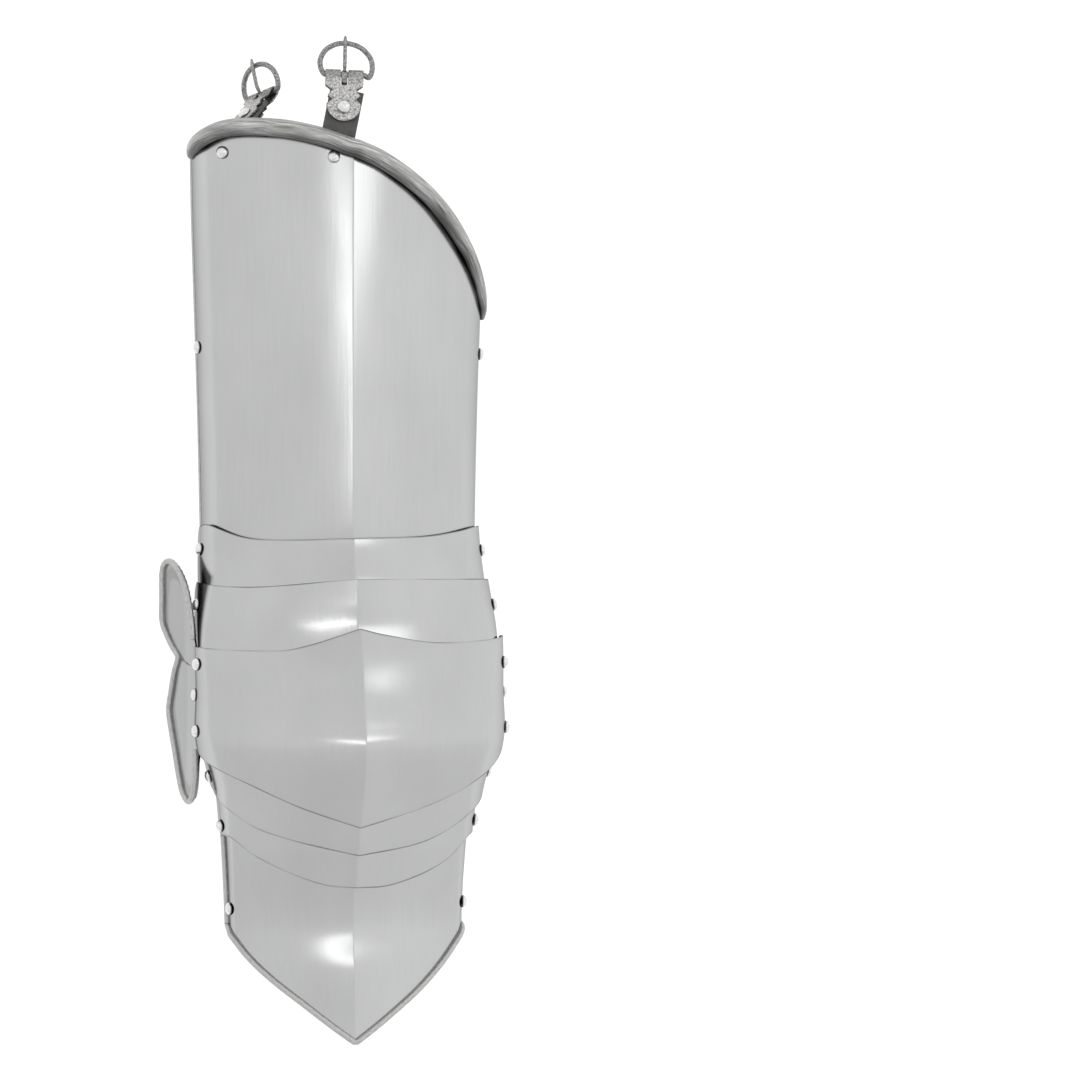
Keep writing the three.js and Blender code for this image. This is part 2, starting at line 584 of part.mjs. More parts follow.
function strapParts({ name, plate, y, z, width, seat }) {
  const depth = SHEET / 2 + seat + STRAP.thick / 2;
  const behindWall = (height) => {
    const across = acrossAtHeight(PLATES[plate], 1, y, height);
    const point = onPlate(PLATES[plate], across, y);
    return point.addScaledVector(plateNormal(PLATES[plate], across, y), -depth);
  };
  const half = [4.5, 1, -4].map((above) => behindWall(z + above)).map((p) => new THREE.Vector2(p.x, p.z));
  const wall = half.at(-1).x;
  half.push(...STRAP_RUNS[name].map((row) => new THREE.Vector2(wall - row.inset, row.z)));
  const left = half.map((p) => new THREE.Vector2(-p.x, p.y));
  const curve = new THREE.SplineCurve([...left, ...half.reverse()]);
  const strip = extruded(stripShape(curve.getPoints(STRAP_STEPS), STRAP.thick), width);
  strip.rotateX(Math.PI / 2);
  strip.translate(0, y, 0);
  let body = solid(strip);
  for (const hole of holes.get(plate)) {
    body = body.subtract(hole);
  }
  addPart(`${name}_strap`, geometryOf(body), leather);

  const fine = curve.getPoints(400);
  const middle = fine.findIndex((p) => p.x > SLIDE.x);
  const run = fine[middle + 1].clone().sub(fine[middle - 1]);
  const inner = { width: width + 2 * SLIDE.gap, thick: STRAP.thick + 2 * SLIDE.gap };
  const outer = solid(new THREE.BoxGeometry(
    SLIDE.length, inner.width + 2 * SLIDE.wall, inner.thick + 2 * SLIDE.wall));
  const bore = solid(new THREE.BoxGeometry(2 * SLIDE.length, inner.width, inner.thick));
  const slide = geometryOf(outer.subtract(bore));
  slide.rotateY(-Math.atan2(run.y, run.x));
  slide.translate(fine[middle].x, y, fine[middle].y);
  addPart(`${name}_strap_slide`, slide, darkSteel);
}

// Hip hangers: tab, folded chape plate, ring and prong

const LEAF_IN = RING.wire + 0.35;
const LEAF_OUT = LEAF_IN + CHAPE.leaf;

// Outline of the chape leaf below the ring's bar: slot end up, notched sides, round end
function chapeOutline() {
  const round = { y: -19.1, radius: 11 };
  const notches = [[1, -7], [0.64, -10.1], [0.875, -13.8], [0.64, -16.1], [0.917, round.y]];
  const right = notches.map(([part, y]) => [part * CHAPE.half, y]);
  const end = [];
  for (let k = 1; k < 6; k += 1) {
    const turn = Math.PI * k / 6;
    end.push([round.radius * Math.cos(turn), round.y - round.radius * Math.sin(turn)]);
  }
  const left = right.map(([x, y]) => [-x, y]).reverse();
  const top = [[-CHAPE.half, LEAF_OUT + 1], [CHAPE.half, LEAF_OUT + 1]];
  return outlineShape([...top, ...right, ...end, ...left].reverse());
}

function chapeBody() {
  const fold = (radius) => Array.from({ length: 5 }, (_, k) => {
    const turn = Math.PI / 2 - Math.PI * k / 4;
    return [radius * Math.cos(turn), radius * Math.sin(turn)];
  });
  const profile = outlineShape([
    [-40, LEAF_OUT], [-40, LEAF_IN], ...fold(LEAF_IN), [-40, -LEAF_IN], [-40, -LEAF_OUT],
    ...fold(LEAF_OUT).reverse(),
  ]);
  const folded = extruded(profile, 2 * CHAPE.half + 2);
  folded.applyMatrix4(new THREE.Matrix4().makeBasis(
    new THREE.Vector3(0, 1, 0), new THREE.Vector3(0, 0, 1), new THREE.Vector3(1, 0, 0)));
  const slot = new THREE.BoxGeometry(CHAPE.slot, CHAPE.slotDepth + LEAF_OUT + 2, 20);
  slot.translate(0, (LEAF_OUT + 2 - CHAPE.slotDepth) / 2, 0);
  return solid(folded).intersect(solid(extruded(chapeOutline(), 20))).subtract(solid(slot));
}

// Ring round its bar on the x axis, its arc turned a little from the bar
function ringGeometry(slant) {
  const arc = [[0.92, 0.06], [1, 0.3], [0.88, 0.64], [0.5, 0.91], [0, 1]];
  const right = arc.map(([x, y]) => new THREE.Vector3(x * RING.half, y * RING.height, 0));
  const left = right.slice(0, -1).map((p) => new THREE.Vector3(-p.x, p.y, 0)).reverse();
  const turn = new THREE.Matrix4().makeRotationZ(THREE.MathUtils.degToRad(slant));
  const bend = [...right, ...left].map((p) => p.applyMatrix4(turn));
  const rod = [-CHAPE.half, 0, CHAPE.half].map((x) => new THREE.Vector3(x, 0, 0));
  const curve = new THREE.CatmullRomCurve3([...rod, ...bend], true, "centripetal");
  return bar(curve.getPoints(RING.steps).slice(0, -1), () => RING.wire, RING.sides, true);
}

function prongBody() {
  const eyeIn = RING.wire + PRONG.seat;
  const { eye, eyeHalf } = PRONG;
  const profile = [[eyeIn, -eyeHalf], [eye, -eyeHalf], [eye, eyeHalf], [eyeIn, eyeHalf], [eyeIn, -eyeHalf]];
  const loop = new THREE.LatheGeometry(profile.map(([r, h]) => new THREE.Vector2(r, h)), 10);
  loop.rotateZ(Math.PI / 2);
  const high = RING.wire + PRONG.radius + PRONG.seat;
  const start = (eyeIn + PRONG.eye) / 2 * Math.SQRT1_2;
  const shaft = [
    { y: start, z: start, radius: PRONG.neck },
    { y: PRONG.bend, z: high, radius: PRONG.radius },
    { y: PRONG.reach - PRONG.taper, z: high, radius: PRONG.radius },
    { y: PRONG.reach, z: high, radius: PRONG.tip },
  ];
  const line = shaft.map(({ y, z }) => new THREE.Vector3(0, y, z));
  const radius = (t) => shaft[Math.round(t * (shaft.length - 1))].radius;
  return solid(loop).add(solid(bar(line, radius, 6)));
}

// Axes of a frame as unit vectors, and its place
function frameOf(x, y, z, place) {
  return new THREE.Matrix4().makeBasis(x, y, z).setPosition(place);
}

// Strip that turns from one frame to another along a smooth run, its edges sagging at the start;
// each frame is { at, up, side } with the strip running along up
function ribbon(start, end, width, thick) {
  const stretch = start.at.distanceTo(end.at);
  const run = new THREE.CubicBezierCurve3(
    start.at, start.at.clone().addScaledVector(start.up, stretch * 0.4),
    end.at.clone().addScaledVector(end.up, -stretch * 0.4), end.at,
  );
  const stations = [{ at: start.at.clone().addScaledVector(start.up, -start.before), t: 0 }];
  for (let i = 0; i <= TAB.steps; i += 1) {
    stations.push({ at: run.getPoint(i / TAB.steps), t: i / TAB.steps });
  }
  stations.push({ at: end.at.clone().addScaledVector(end.up, end.beyond), t: 1 });
  const faces = [1, -1].map((face) => [-1, -0.4, 0.4, 1].map((edge) => stations.map(({ at, t }) => {
    const tangent = run.getTangent(t);
    const across = start.side.clone().lerp(end.side, t);
    across.addScaledVector(tangent, -across.dot(tangent)).normalize();
    const normal = across.clone().cross(tangent);
    const edgePoint = at.clone().addScaledVector(across, edge * width / 2);
    const sag = start.sag * (1 - t ** 3) * (Math.abs(edge) - 0.4) / 0.6;
    return edgePoint.addScaledVector(normal, face * thick / 2 - sag);
  })));
  return slab(faces[0], faces[1]);
}

function hangerParts(row) {
  const { name, x, y, seat, lean, sag, flip, slant } = row;
  const toRad = THREE.MathUtils.degToRad;
  const plate = PLATES.thigh_plate;
  let across = 0;
  while (onPlate(plate, across, y).x > x) {
    across -= 0.001;
  }
  const place = onPlate(plate, across, y);
  const normal = plateNormal(plate, across, y);
  const up = new THREE.Vector3(0, 1, 0).addScaledVector(normal, -normal.y).normalize();
  up.applyAxisAngle(normal, toRad(lean));
  const side = up.clone().cross(normal);
  const root = place.clone().addScaledVector(normal, -SHEET / 2 - seat - TAB.thick / 2);
  const rootFrame = rivetFrame(place, normal);
  drill("thigh_plate", rootFrame);
  const rootHole = holes.get("thigh_plate").at(-1);

  // The chape's frame: x across, y towards the ring, z out of its front
  const farUp = new THREE.Vector3(row.alongX, row.alongY, row.alongZ).normalize();
  const farSide = new THREE.Vector3(row.acrossX, row.acrossY, row.acrossZ);
  farSide.addScaledVector(farUp, -farSide.dot(farUp)).normalize();
  const farOut = farSide.clone().cross(farUp);
  const boltPlace = new THREE.Vector3(row.boltX, row.boltY, row.boltZ);
  const barPlace = boltPlace.clone().addScaledVector(farUp, CHAPE.reach);
  const chapeFrame = new THREE.Matrix4().makeBasis(farSide, farUp, farOut).setPosition(barPlace);
  const boltFrame = rivetFrame(boltPlace, farOut);
  const bolt = new THREE.CylinderGeometry(RIVET.hole, RIVET.hole, RIVET.holeLength, RIVET.sides);
  const boltHole = solid(bolt.applyMatrix4(boltFrame));

  const start = {
    at: root.clone().addScaledVector(up, TAB.flat), up, side, before: TAB.flat + TAB.tail, sag,
  };
  const endUp = farUp.clone().applyAxisAngle(farOut, toRad(row.endTurn));
  const end = {
    at: boltPlace.clone().addScaledVector(endUp, -TAB.grip), up: endUp, side: endUp.clone().cross(farOut),
    beyond: TAB.grip + CHAPE.reach - TAB.end,
  };
  const tab = solid(ribbon(start, end, TAB.width, TAB.thick));
  addPart(`${name}_hanger_tab`, geometryOf(tab.subtract(rootHole).subtract(boltHole)), leather);
  const metal = solid(geometryOf(chapeBody()).applyMatrix4(chapeFrame)).subtract(boltHole);
  addPart(`${name}_hanger_chape`, geometryOf(metal), darkSteel);
  const turned = new THREE.Matrix4().makeRotationX(toRad(flip));
  const ringFrame = chapeFrame.clone().multiply(turned);
  addPart(`${name}_hanger_ring`, ringGeometry(slant).applyMatrix4(ringFrame), darkSteel);
  addPart(`${name}_hanger_prong`, geometryOf(prongBody()).applyMatrix4(ringFrame), darkSteel);

  const bolted = rivetGeometry(LEAF_OUT + RIVET.seat, -LEAF_OUT - RIVET.seat, CHAPE.rivetHead);
  rivets.push({ name: `${name}_chape_rivet`, geometry: bolted.applyMatrix4(boltFrame) });
  const foot = -SHEET / 2 - seat - TAB.thick - RIVET.seat;
  const rooted = rivetGeometry(SHEET / 2 + RIVET.seat, foot, RIVET.head);
  rivets.push({ name: `${name}_hanger_rivet`, geometry: rooted.applyMatrix4(rootFrame) });
}

HANGERS.forEach(hangerParts);
STRAPS.forEach(strapParts);

const EXTRAS = { thigh_plate: thighExtras, shin_plate: shinExtras, knee_cop: wingParts };

for (const [name, plate] of Object.entries(PLATES)) {
  let body = solid(plateGeometry(plate));
  for (const extra of EXTRAS[name] ? EXTRAS[name]() : []) {
    body = body.add(solid(extra));
  }
  for (const hole of holes.get(name)) {
    body = body.subtract(hole);
  }
  addPart(name, geometryOf(body), steel);
}
for (const { name, geometry } of rivets) {
  addPart(name, geometry, steel);
}

const box = new THREE.Box3().setFromObject(model);
const middle = box.getCenter(new THREE.Vector3());
model.position.set(-middle.x, -middle.y, -box.min.z);
model.updateMatrixWorld(true);

export default model;
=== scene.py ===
"""Looks of the plate leg defence, dressed over its CAD frame. Lengths in the tables are mm."""

import json
import math
import bmesh
import bpy
import numpy as np
from mathutils import Matrix, Vector

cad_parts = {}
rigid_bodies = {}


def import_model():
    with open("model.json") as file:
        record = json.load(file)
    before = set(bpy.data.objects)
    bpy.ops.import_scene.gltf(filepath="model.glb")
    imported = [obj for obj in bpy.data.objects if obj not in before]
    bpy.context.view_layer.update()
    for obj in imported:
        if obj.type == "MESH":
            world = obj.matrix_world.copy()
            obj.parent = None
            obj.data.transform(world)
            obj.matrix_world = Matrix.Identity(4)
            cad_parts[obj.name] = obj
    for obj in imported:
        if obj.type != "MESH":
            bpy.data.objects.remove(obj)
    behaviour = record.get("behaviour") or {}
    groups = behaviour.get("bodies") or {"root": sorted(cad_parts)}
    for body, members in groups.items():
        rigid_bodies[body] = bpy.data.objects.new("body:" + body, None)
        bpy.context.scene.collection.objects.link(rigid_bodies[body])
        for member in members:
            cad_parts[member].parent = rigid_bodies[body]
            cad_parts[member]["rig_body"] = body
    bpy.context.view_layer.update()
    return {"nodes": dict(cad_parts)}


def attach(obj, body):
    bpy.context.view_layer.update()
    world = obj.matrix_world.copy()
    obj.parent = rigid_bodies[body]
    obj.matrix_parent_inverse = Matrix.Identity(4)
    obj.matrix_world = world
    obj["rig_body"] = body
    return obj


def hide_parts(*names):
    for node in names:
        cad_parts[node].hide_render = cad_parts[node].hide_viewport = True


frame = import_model()

# Where the design coordinates' origin lies in the row frame, and sizes in mm
OFFSET = np.array([7.1292, -97.1743, -0.0293])
SHEET = 1.2
WALL_UNIT = 100.0
SWELL = 50.0
WAVE = 0.1
RIVET = {"head": 4.0, "dome": 3.1, "shank": 1.6, "seat": 0.35, "inner": 3.2, "tail": 1.3, "under": 0.95}
WING = {"x": -97.4, "z": 44.0, "flare": 0.35, "join": 52.0, "step_y": 12.0, "recess": 1.7, "soft": 5.0}
STRAP_THICK = 2.5
SLIDE = {"length": 12.0, "wall": 1.6, "gap": 0.5, "x": -34.0}
TAB = {"width": 21.4, "thick": 3.0, "tail": 9.0, "flat": 3.0, "grip": 10.0, "end": 9.5}
CHAPE = {"leaf": 1.2, "half": 12.0, "reach": 21.0, "slot": 2.4, "depth": 7.0, "rivet": 4.3}
RING = {"wire": 1.7, "half": 16.6, "height": 20.0}
RIM_RADIUS = {"bead": 1.5, "shin": 2.0, "wing": 2.0}
PRONG = {"radius": 1.2, "reach": 24.0, "half": 2.0, "seat": 0.35}
PRONG_EYE = {"y": 4.1, "z": 2.7, "low": 1.8, "wire": 0.62}
LEAF_IN = RING["wire"] + 0.35
LEAF_OUT = LEAF_IN + CHAPE["leaf"]

# Arches of the plates: y along the leg, half width, side, ridge and rear heights
THIGH_ARCH = [
    (366, 95.5, 8, 58, 1.5), (306, 94.4, 8, 58, 1.5), (182, 90.2, 8, 58, 1.5), (105, 88.2, 10, 58, 1.5),
    (78, 87.6, 14, 56, 6),
]
UPPER_1_ARCH = [
    (107, 90.4, 12, 59.5, 5), (90, 90.8, 16, 62, 6), (72, 91.4, 24, 67.5, 12), (57, 91.6, 32, 69.5, 18),
    (45, 91.6, 38, 70, 22),
]
UPPER_2_ARCH = [
    (72, 93.2, 26, 76.3, 18), (55, 94.4, 35, 76.6, 22), (41, 95.1, 43, 77, 30), (20, 95, 52, 80, 42),
    (8, 94.8, 56, 81, 46),
]
KNEE_ARCH = [
    (42, 98, 48, 85.4, 42), (25, 97.4, 53, 92.5, 42), (0, 96.8, 56, 99, 42), (-20, 97.4, 57, 105, 45),
    (-32, 96.4, 57, 107.4, 48), (-50, 92.6, 56, 103.4, 50), (-83, 85, 54, 86.4, 50),
]
LOWER_1_ARCH = [
    (-12, 95.2, 57, 97, 47), (-30, 93.2, 55, 96, 42), (-50, 88, 51, 92, 36), (-66, 84.6, 49, 88, 36),
    (-100, 81, 46, 81, 36),
]
LOWER_2_ARCH = [
    (-40, 86, 48, 88, 36), (-60, 82.6, 46, 83.5, 34), (-82, 80.3, 44, 77.6, 34),
    (-100, 78.8, 42, 75.5, 36), (-121, 77.4, 40, 72, 36),
]
SHIN_ARCH = [
    (-72, 77.9, 44, 69, 34), (-100, 75.4, 42, 67, 30), (-143, 73.2, 39, 61.5, 29),
    (-172, 73, 38, 66, 30), (-216, 73.4, 36, 70, 30),
]

# Edges: across the leg (-1 outer side, 0 crease, 1 inner side), y along the leg
HIP_EDGE = [
    (-1, 342), (-0.84, 346.5), (-0.57, 354.5), (-0.3, 353.8), (-0.14, 349.2), (0, 341.8), (0.12, 334.3),
    (0.33, 314.5), (0.57, 285.2), (0.85, 252.5), (1, 243),
]
THIGH_LOW = [
    (-1, 80), (0, 82), (1, 80),
]
UPPER_1_TOP = [
    (-1, 104), (-0.8, 105.2), (-0.5, 96.9), (-0.3, 95.1), (0, 95.8), (0.35, 98.3), (0.73, 104.5),
    (1, 106),
]
UPPER_1_LOW = [
    (-1, 46), (0, 58), (1, 46),
]
UPPER_2_TOP = [
    (-1, 68.9), (-0.45, 65.8), (0, 70.7), (1, 71),
]
UPPER_2_LOW = [
    (-1, 9.5), (0, 22), (1, 9.5),
]
KNEE_TOP = [
    (-1, 29.2), (-0.33, 26.7), (-0.19, 30.3), (0, 39.9), (0.08, 36.5), (0.29, 31.4), (0.53, 31.8),
    (1, 35.1),
]
KNEE_LOW = [
    (-1, -36), (-0.55, -53), (-0.25, -69.6), (0, -82.5), (0.37, -66.5), (0.7, -49), (1, -31),
]
LOWER_1_TOP = [
    (-1, -14.5), (-0.55, -38), (-0.25, -54), (0, -67), (0.37, -52), (0.7, -35), (1, -14.5),
]
LOWER_1_LOW = [
    (-1, -60), (-0.7, -73.7), (-0.49, -84), (0, -100.2), (0.33, -93), (0.7, -76), (1, -63),
]
LOWER_2_TOP = [
    (-1, -43), (-0.5, -69), (0, -86), (0.33, -79), (0.7, -61), (1, -43),
]
LOWER_2_LOW = [
    (-1, -89.5), (-0.77, -90), (-0.53, -101.8), (-0.15, -118.9), (0, -121.1), (0.17, -120.3),
    (0.5, -107.8), (0.77, -93), (1, -89.5),
]
SHIN_TOP = [
    (-1, -74.5), (-0.75, -78), (-0.5, -90), (0, -108), (0.5, -95), (0.75, -81), (1, -74.5),
]
SHIN_LOW = [
    (-1, -149), (-0.765, -158), (-0.32, -188.2), (0, -216.8), (0.3, -191.9), (0.7, -162.5), (1, -151),
]

# Rolled hip edge from its outer end (0) to its inner end (1): radius and lift of its centre
HIP_ROLL = [(0, 3.1, 0.9), (0.14, 5.2, 4.4), (0.7, 5.3, 4.6), (0.86, 3.7, 3.1), (1, 2.2, 1.6)]

# Centre line of the wing's rolled rim: y, z
WING_RIM = [
    (33, 45), (44, 43), (58, 38), (69.5, 31.5), (78.5, 21.5), (82, 11), (78.5, 3.5), (57.5, 2.2),
    (44, 2.6), (35, 9.5), (28, 17), (21.5, 24.8), (13.5, 20.5), (1, 16), (-12, 12.4), (-24, 15.8),
    (-37.5, 21), (-50.5, 25.7), (-62.5, 31.5), (-67.8, 39), (-65.5, 44), (-57, 47), (-46, 48.5),
    (-35, 49),
]
WING_NOTCH = (21.5, 24.8)

# Each plate: arch, top and low edge, rounding of its top and low rear corners, seed of its waviness
PLATES = {
    "thigh_plate": (THIGH_ARCH, HIP_EDGE, THIGH_LOW, 0, 9, 1.0),
    "upper_lame_1": (UPPER_1_ARCH, UPPER_1_TOP, UPPER_1_LOW, 9, 8, 2.3),
    "upper_lame_2": (UPPER_2_ARCH, UPPER_2_TOP, UPPER_2_LOW, 8, 7, 3.1),
    "knee_cop": (KNEE_ARCH, KNEE_TOP, KNEE_LOW, 5, 5, 4.7),
    "lower_lame_1": (LOWER_1_ARCH, LOWER_1_TOP, LOWER_1_LOW, 7, 8, 5.2),
    "lower_lame_2": (LOWER_2_ARCH, LOWER_2_TOP, LOWER_2_LOW, 7, 5, 6.4),
    "shin_plate": (SHIN_ARCH, SHIN_TOP, SHIN_LOW, 7, 0, 7.9),
}
PIVOTS = [
    ("upper_lame_1", "thigh_plate", 89.7, 19), ("upper_lame_2", "upper_lame_1", 54.4, 37),
    ("knee_cop", "upper_lame_2", 18, 58), ("knee_cop", "lower_lame_1", -23, 60),
    ("lower_lame_1", "lower_lame_2", -51.5, 49), ("lower_lame_2", "shin_plate", -82.7, 45.5),
]
# Straps: name, plate, y, rivet height, width, gap behind the plate, run as (inset, height)
STRAPS = [
    ("thigh", "thigh_plate", 218.7, 11, 20, 0.9, [(3.5, 1.9), (30, 2.4), (60, 5), (80, 6)]),
    ("knee", "knee_cop", -1, 53, 15, 0.7, [(1.5, 28), (10, 11), (27, 4.6), (60, 4.6)]),
    ("calf", "shin_plate", -135.3, 40, 20, 1.9, [(2, 20), (10, 8.6), (25, 4.6), (52, 4.6)]),
]
HANGERS = [
    {"name": "front", "x": -12, "y": 336.5, "seat": 0.9, "lean": -10.5, "sag": 0.4,
     "bolt": (-5.5, 368.1, 53.8), "along": (0.02, 1, 0), "across": (0.99, -0.02, 0.14),
     "turn": -10, "flip": 0, "slant": -9},
    {"name": "side", "x": -79, "y": 340.3, "seat": 3.2, "lean": 0, "sag": 7.8,
     "bolt": (-62.1, 364.7, 26), "along": (0.49, 0.75, -0.42), "across": (0.552, 0.174, 0.814),
     "turn": 0, "flip": 50, "slant": 0},
]


def unit(v):
    v = np.asarray(v, float)
    return v / np.linalg.norm(v, axis=-1, keepdims=True)


def along(table, at, column):
    """Smooth value of one column of a table at places along its first column."""
    rows = sorted(table)
    x = np.array([row[0] for row in rows], float)
    v = np.array([row[column] for row in rows], float)
    last = len(x) - 1
    ahead, behind = np.minimum(np.arange(last + 1) + 1, last), np.maximum(np.arange(last + 1) - 1, 0)
    tangent = (v[ahead] - v[behind]) / (x[ahead] - x[behind])
    at = np.asarray(at, float)
    i = np.clip(np.searchsorted(x, at) - 1, 0, last - 1)
    span = x[i + 1] - x[i]
    t = np.clip((at - x[i]) / span, 0, 1)
    ends = (2 * t**3 - 3 * t**2 + 1) * v[i] + (3 * t**2 - 2 * t**3) * v[i + 1]
    return ends + span * ((t**3 - 2 * t**2 + t) * tangent[i] + (t**3 - t**2) * tangent[i + 1])


def edge_height(edge, across):
    """An edge with a corner at the crease is smooth on each side of it only."""
    across = np.asarray(across, float)
    low = along([row for row in edge if row[0] <= 0], np.clip(across, -1, 0), 1)
    high = along([row for row in edge if row[0] >= 0], np.clip(across, 0, 1), 1)
    return np.where(across < 0, low, high)


def on_plate(arch, across, y):
    """Middle of the sheet; across beyond 1 runs down the side wall."""
    across, y = np.broadcast_arrays(np.asarray(across, float), np.asarray(y, float))
    half, side, ridge = (along(arch, y, column) for column in (1, 2, 3))
    sweep = np.arccos(SWELL / (half + SWELL))
    turn = sweep * (1 - np.minimum(np.abs(across), 1))
    x = (half + SWELL) * np.cos(turn) - SWELL
    drop = np.maximum(np.abs(across) - 1, 0) * WALL_UNIT
    rise = (ridge - side) * np.sin(turn) / np.sin(sweep)
    return np.stack([np.sign(across) * x, y, side + rise - drop], -1)


def plate_normal(arch, across, y):
    step = 0.004
    across, y = np.broadcast_arrays(np.asarray(across, float), np.asarray(y, float))
    side = np.where(across < 0, -1, 1)
    a = np.where(np.abs(across) < step, side * step, across)
    run = on_plate(arch, a + step, y) - on_plate(arch, a - step, y)
    rise = on_plate(arch, a, y + 1) - on_plate(arch, a, y - 1)
    normal = unit(np.cross(run, rise))
    normal[..., 0] = np.where(np.abs(across) < 1e-6, 0, normal[..., 0])
    return unit(normal)


def across_at(arch, side, y, z):
    """Across value of the wall point at a height."""
    low, high = 0.5, 1.6
    for _ in range(40):
        middle = (low + high) / 2
        if on_plate(arch, middle, y)[2] > z:
            low = middle
        else:
            high = middle
    return side * low


def catmull(points, count, closed=False):
    """Points along a centripetal curve through the given ones."""
    p = np.asarray(points, float)
    n = len(p)
    out = []
    for t in np.linspace(0, 1, count, endpoint=not closed):
        at = (n if closed else n - 1) * t
        i = min(int(at), (n if closed else n - 1) - 1)
        w = at - i
        p1, p2 = p[i % n], p[(i + 1) % n]
        p0 = p[(i - 1) % n] if closed or i > 0 else 2 * p[0] - p[1]
        p3 = p[(i + 2) % n] if closed or i + 2 < n else 2 * p[-1] - p[-2]
        d0, d1, d2 = (max(np.linalg.norm(b - a) ** 0.5, 1e-4)
                      for a, b in ((p0, p1), (p1, p2), (p2, p3)))
        t1 = ((p1 - p0) / d0 - (p2 - p0) / (d0 + d1) + (p2 - p1) / d1) * d1
        t2 = ((p2 - p1) / d1 - (p3 - p1) / (d1 + d2) + (p3 - p2) / d2) * d1
        out.append((2 * w**3 - 3 * w**2 + 1) * p1 + (w**3 - 2 * w**2 + w) * t1
                   + (3 * w**2 - 2 * w**3) * p2 + (w**3 - w**2) * t2)
    return np.array(out)


def waves(points, seed):
    """Low waviness of a hand-worked sheet, in mm."""
    x, y, z = points[..., 0], points[..., 1], points[..., 2]
    a = np.sin(x / 9.5 + y / 31 + seed) * np.sin(y / 13 - x / 27 + 2 * seed)
    b = np.sin(x / 17 - y / 22 + z / 15 + 3 * seed) + np.sin(y / 37 + x / 41 + 5 * seed)
    return WAVE * (0.35 * a + 0.5 * b)


def put(name, body, nodes, points, faces, material, shade=None, uv=None, sharp=40, bevel=0):
    """Mesh object from points in mm, riding on a body and standing for its nodes."""
    mesh = bpy.data.meshes.new(name)
    placed = (np.asarray(points, float).reshape(-1, 3) + OFFSET) / 1000
    mesh.from_pydata(placed.tolist(), [], [list(map(int, face)) for face in faces])
    if shade is not None:
        layer = mesh.attributes.new("shade", "FLOAT", "POINT")
        layer.data.foreach_set("value", np.asarray(shade, np.float32).ravel())
    if uv is not None:
        layer = mesh.uv_layers.new(name="UVMap")
        corner = np.empty(len(mesh.loops), np.int32)
        mesh.loops.foreach_get("vertex_index", corner)
        layer.data.foreach_set("uv", np.asarray(uv, np.float32).reshape(-1, 2)[corner].ravel())
    mesh.validate()
    mesh.shade_smooth()
    mesh.set_sharp_from_angle(angle=math.radians(sharp))
    mesh.materials.append(material)
    obj = bpy.data.objects.new(name, mesh)
    bpy.context.scene.collection.objects.link(obj)
    if bevel:
        soft = obj.modifiers.new("edges", "BEVEL")
        soft.width, soft.segments, soft.limit_method = bevel / 1000, 2, "ANGLE"
        soft.angle_limit = math.radians(50)
    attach(obj, body)
    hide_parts(*nodes)
    return obj


def grid_faces(columns, rows, base=0, flip=False):
    faces = []
    for i in range(columns - 1):
        for j in range(rows - 1):
            a = base + i * rows + j
            quad = (a, a + rows, a + rows + 1, a + 1)
            faces.append(quad[::-1] if flip else quad)
    return faces


def slab(front, back):
    """Closed sheet between two grids of points: points and faces."""
    columns, rows = front.shape[:2]
    size = columns * rows
    faces = grid_faces(columns, rows) + grid_faces(columns, rows, size, flip=True)
    for i in range(columns - 1):
        a, b = i * rows, (i + 1) * rows
        faces.append((a, a + size, b + size, b))
        a, b = a + rows - 1, b + rows - 1
        faces.append((a, b, b + size, a + size))
    for j in range(rows - 1):
        faces.append((j, j + 1, j + 1 + size, j + size))
        a = (columns - 1) * rows + j
        faces.append((a, a + size, a + 1 + size, a + 1))
    return np.concatenate([front.reshape(-1, 3), back.reshape(-1, 3)]), faces


def headings(line):
    """Direction of an open line at each of its points."""
    here = np.arange(len(line))
    return unit(line[np.minimum(here + 1, len(line) - 1)] - line[np.maximum(here - 1, 0)])


def run_length(line):
    """Distance along a line of points, in metres."""
    return np.concatenate([[0], np.cumsum(np.linalg.norm(np.diff(line, axis=0), axis=1))]) / 1000


def tube(points, radius, sides=14, closed=False, hint=(0.31, 0.17, 0.93)):
    """Round bar along points: its points, faces and uv (length in m, turn)."""
    p = np.asarray(points, float)
    n = len(p)
    radius = np.broadcast_to(np.asarray(radius, float), n)
    if closed:
        direction = unit(np.roll(p, -1, 0) - np.roll(p, 1, 0))
    else:
        direction = headings(p)
    run = run_length(p)
    side = unit(np.cross(hint, direction[0]))
    rings, uv = [], []
    turns = np.linspace(0, 2 * np.pi, sides, endpoint=False)
    for i in range(n):
        side = unit(side - np.dot(side, direction[i]) * direction[i])
        up = np.cross(direction[i], side)
        rings.append(p[i] + radius[i] * (np.outer(np.cos(turns), side) + np.outer(np.sin(turns), up)))
        uv.append(np.stack([np.full(sides, run[i]), turns / 6.283], -1))
    faces = []
    for i in range(n if closed else n - 1):
        a, b = i * sides, (i + 1) % n * sides
        for k in range(sides):
            m = (k + 1) % sides
            faces.append((a + k, a + m, b + m, b + k))
    if not closed:
        faces.append(tuple(range(sides))[::-1])
        faces.append(tuple(range((n - 1) * sides, n * sides)))
    return np.concatenate(rings), faces, np.concatenate(uv)


def joined(*parts):
    """Several (points, faces, shade, uv) sets as one."""
    points, faces, shades, uvs, base = [], [], [], [], 0
    for p, f, shade, uv in parts:
        points.append(p)
        shades.append(np.broadcast_to(shade, len(p)))
        uvs.append(uv)
        faces += [tuple(k + base for k in face) for face in f]
        base += len(p)
    return np.concatenate(points), faces, np.concatenate(shades), np.concatenate(uvs)


# Materials

def nodes_of(name):
    material = bpy.data.materials.new(name)
    material.use_nodes = True
    tree = material.node_tree
    shader = tree.nodes["Principled BSDF"]
    return material, tree, shader


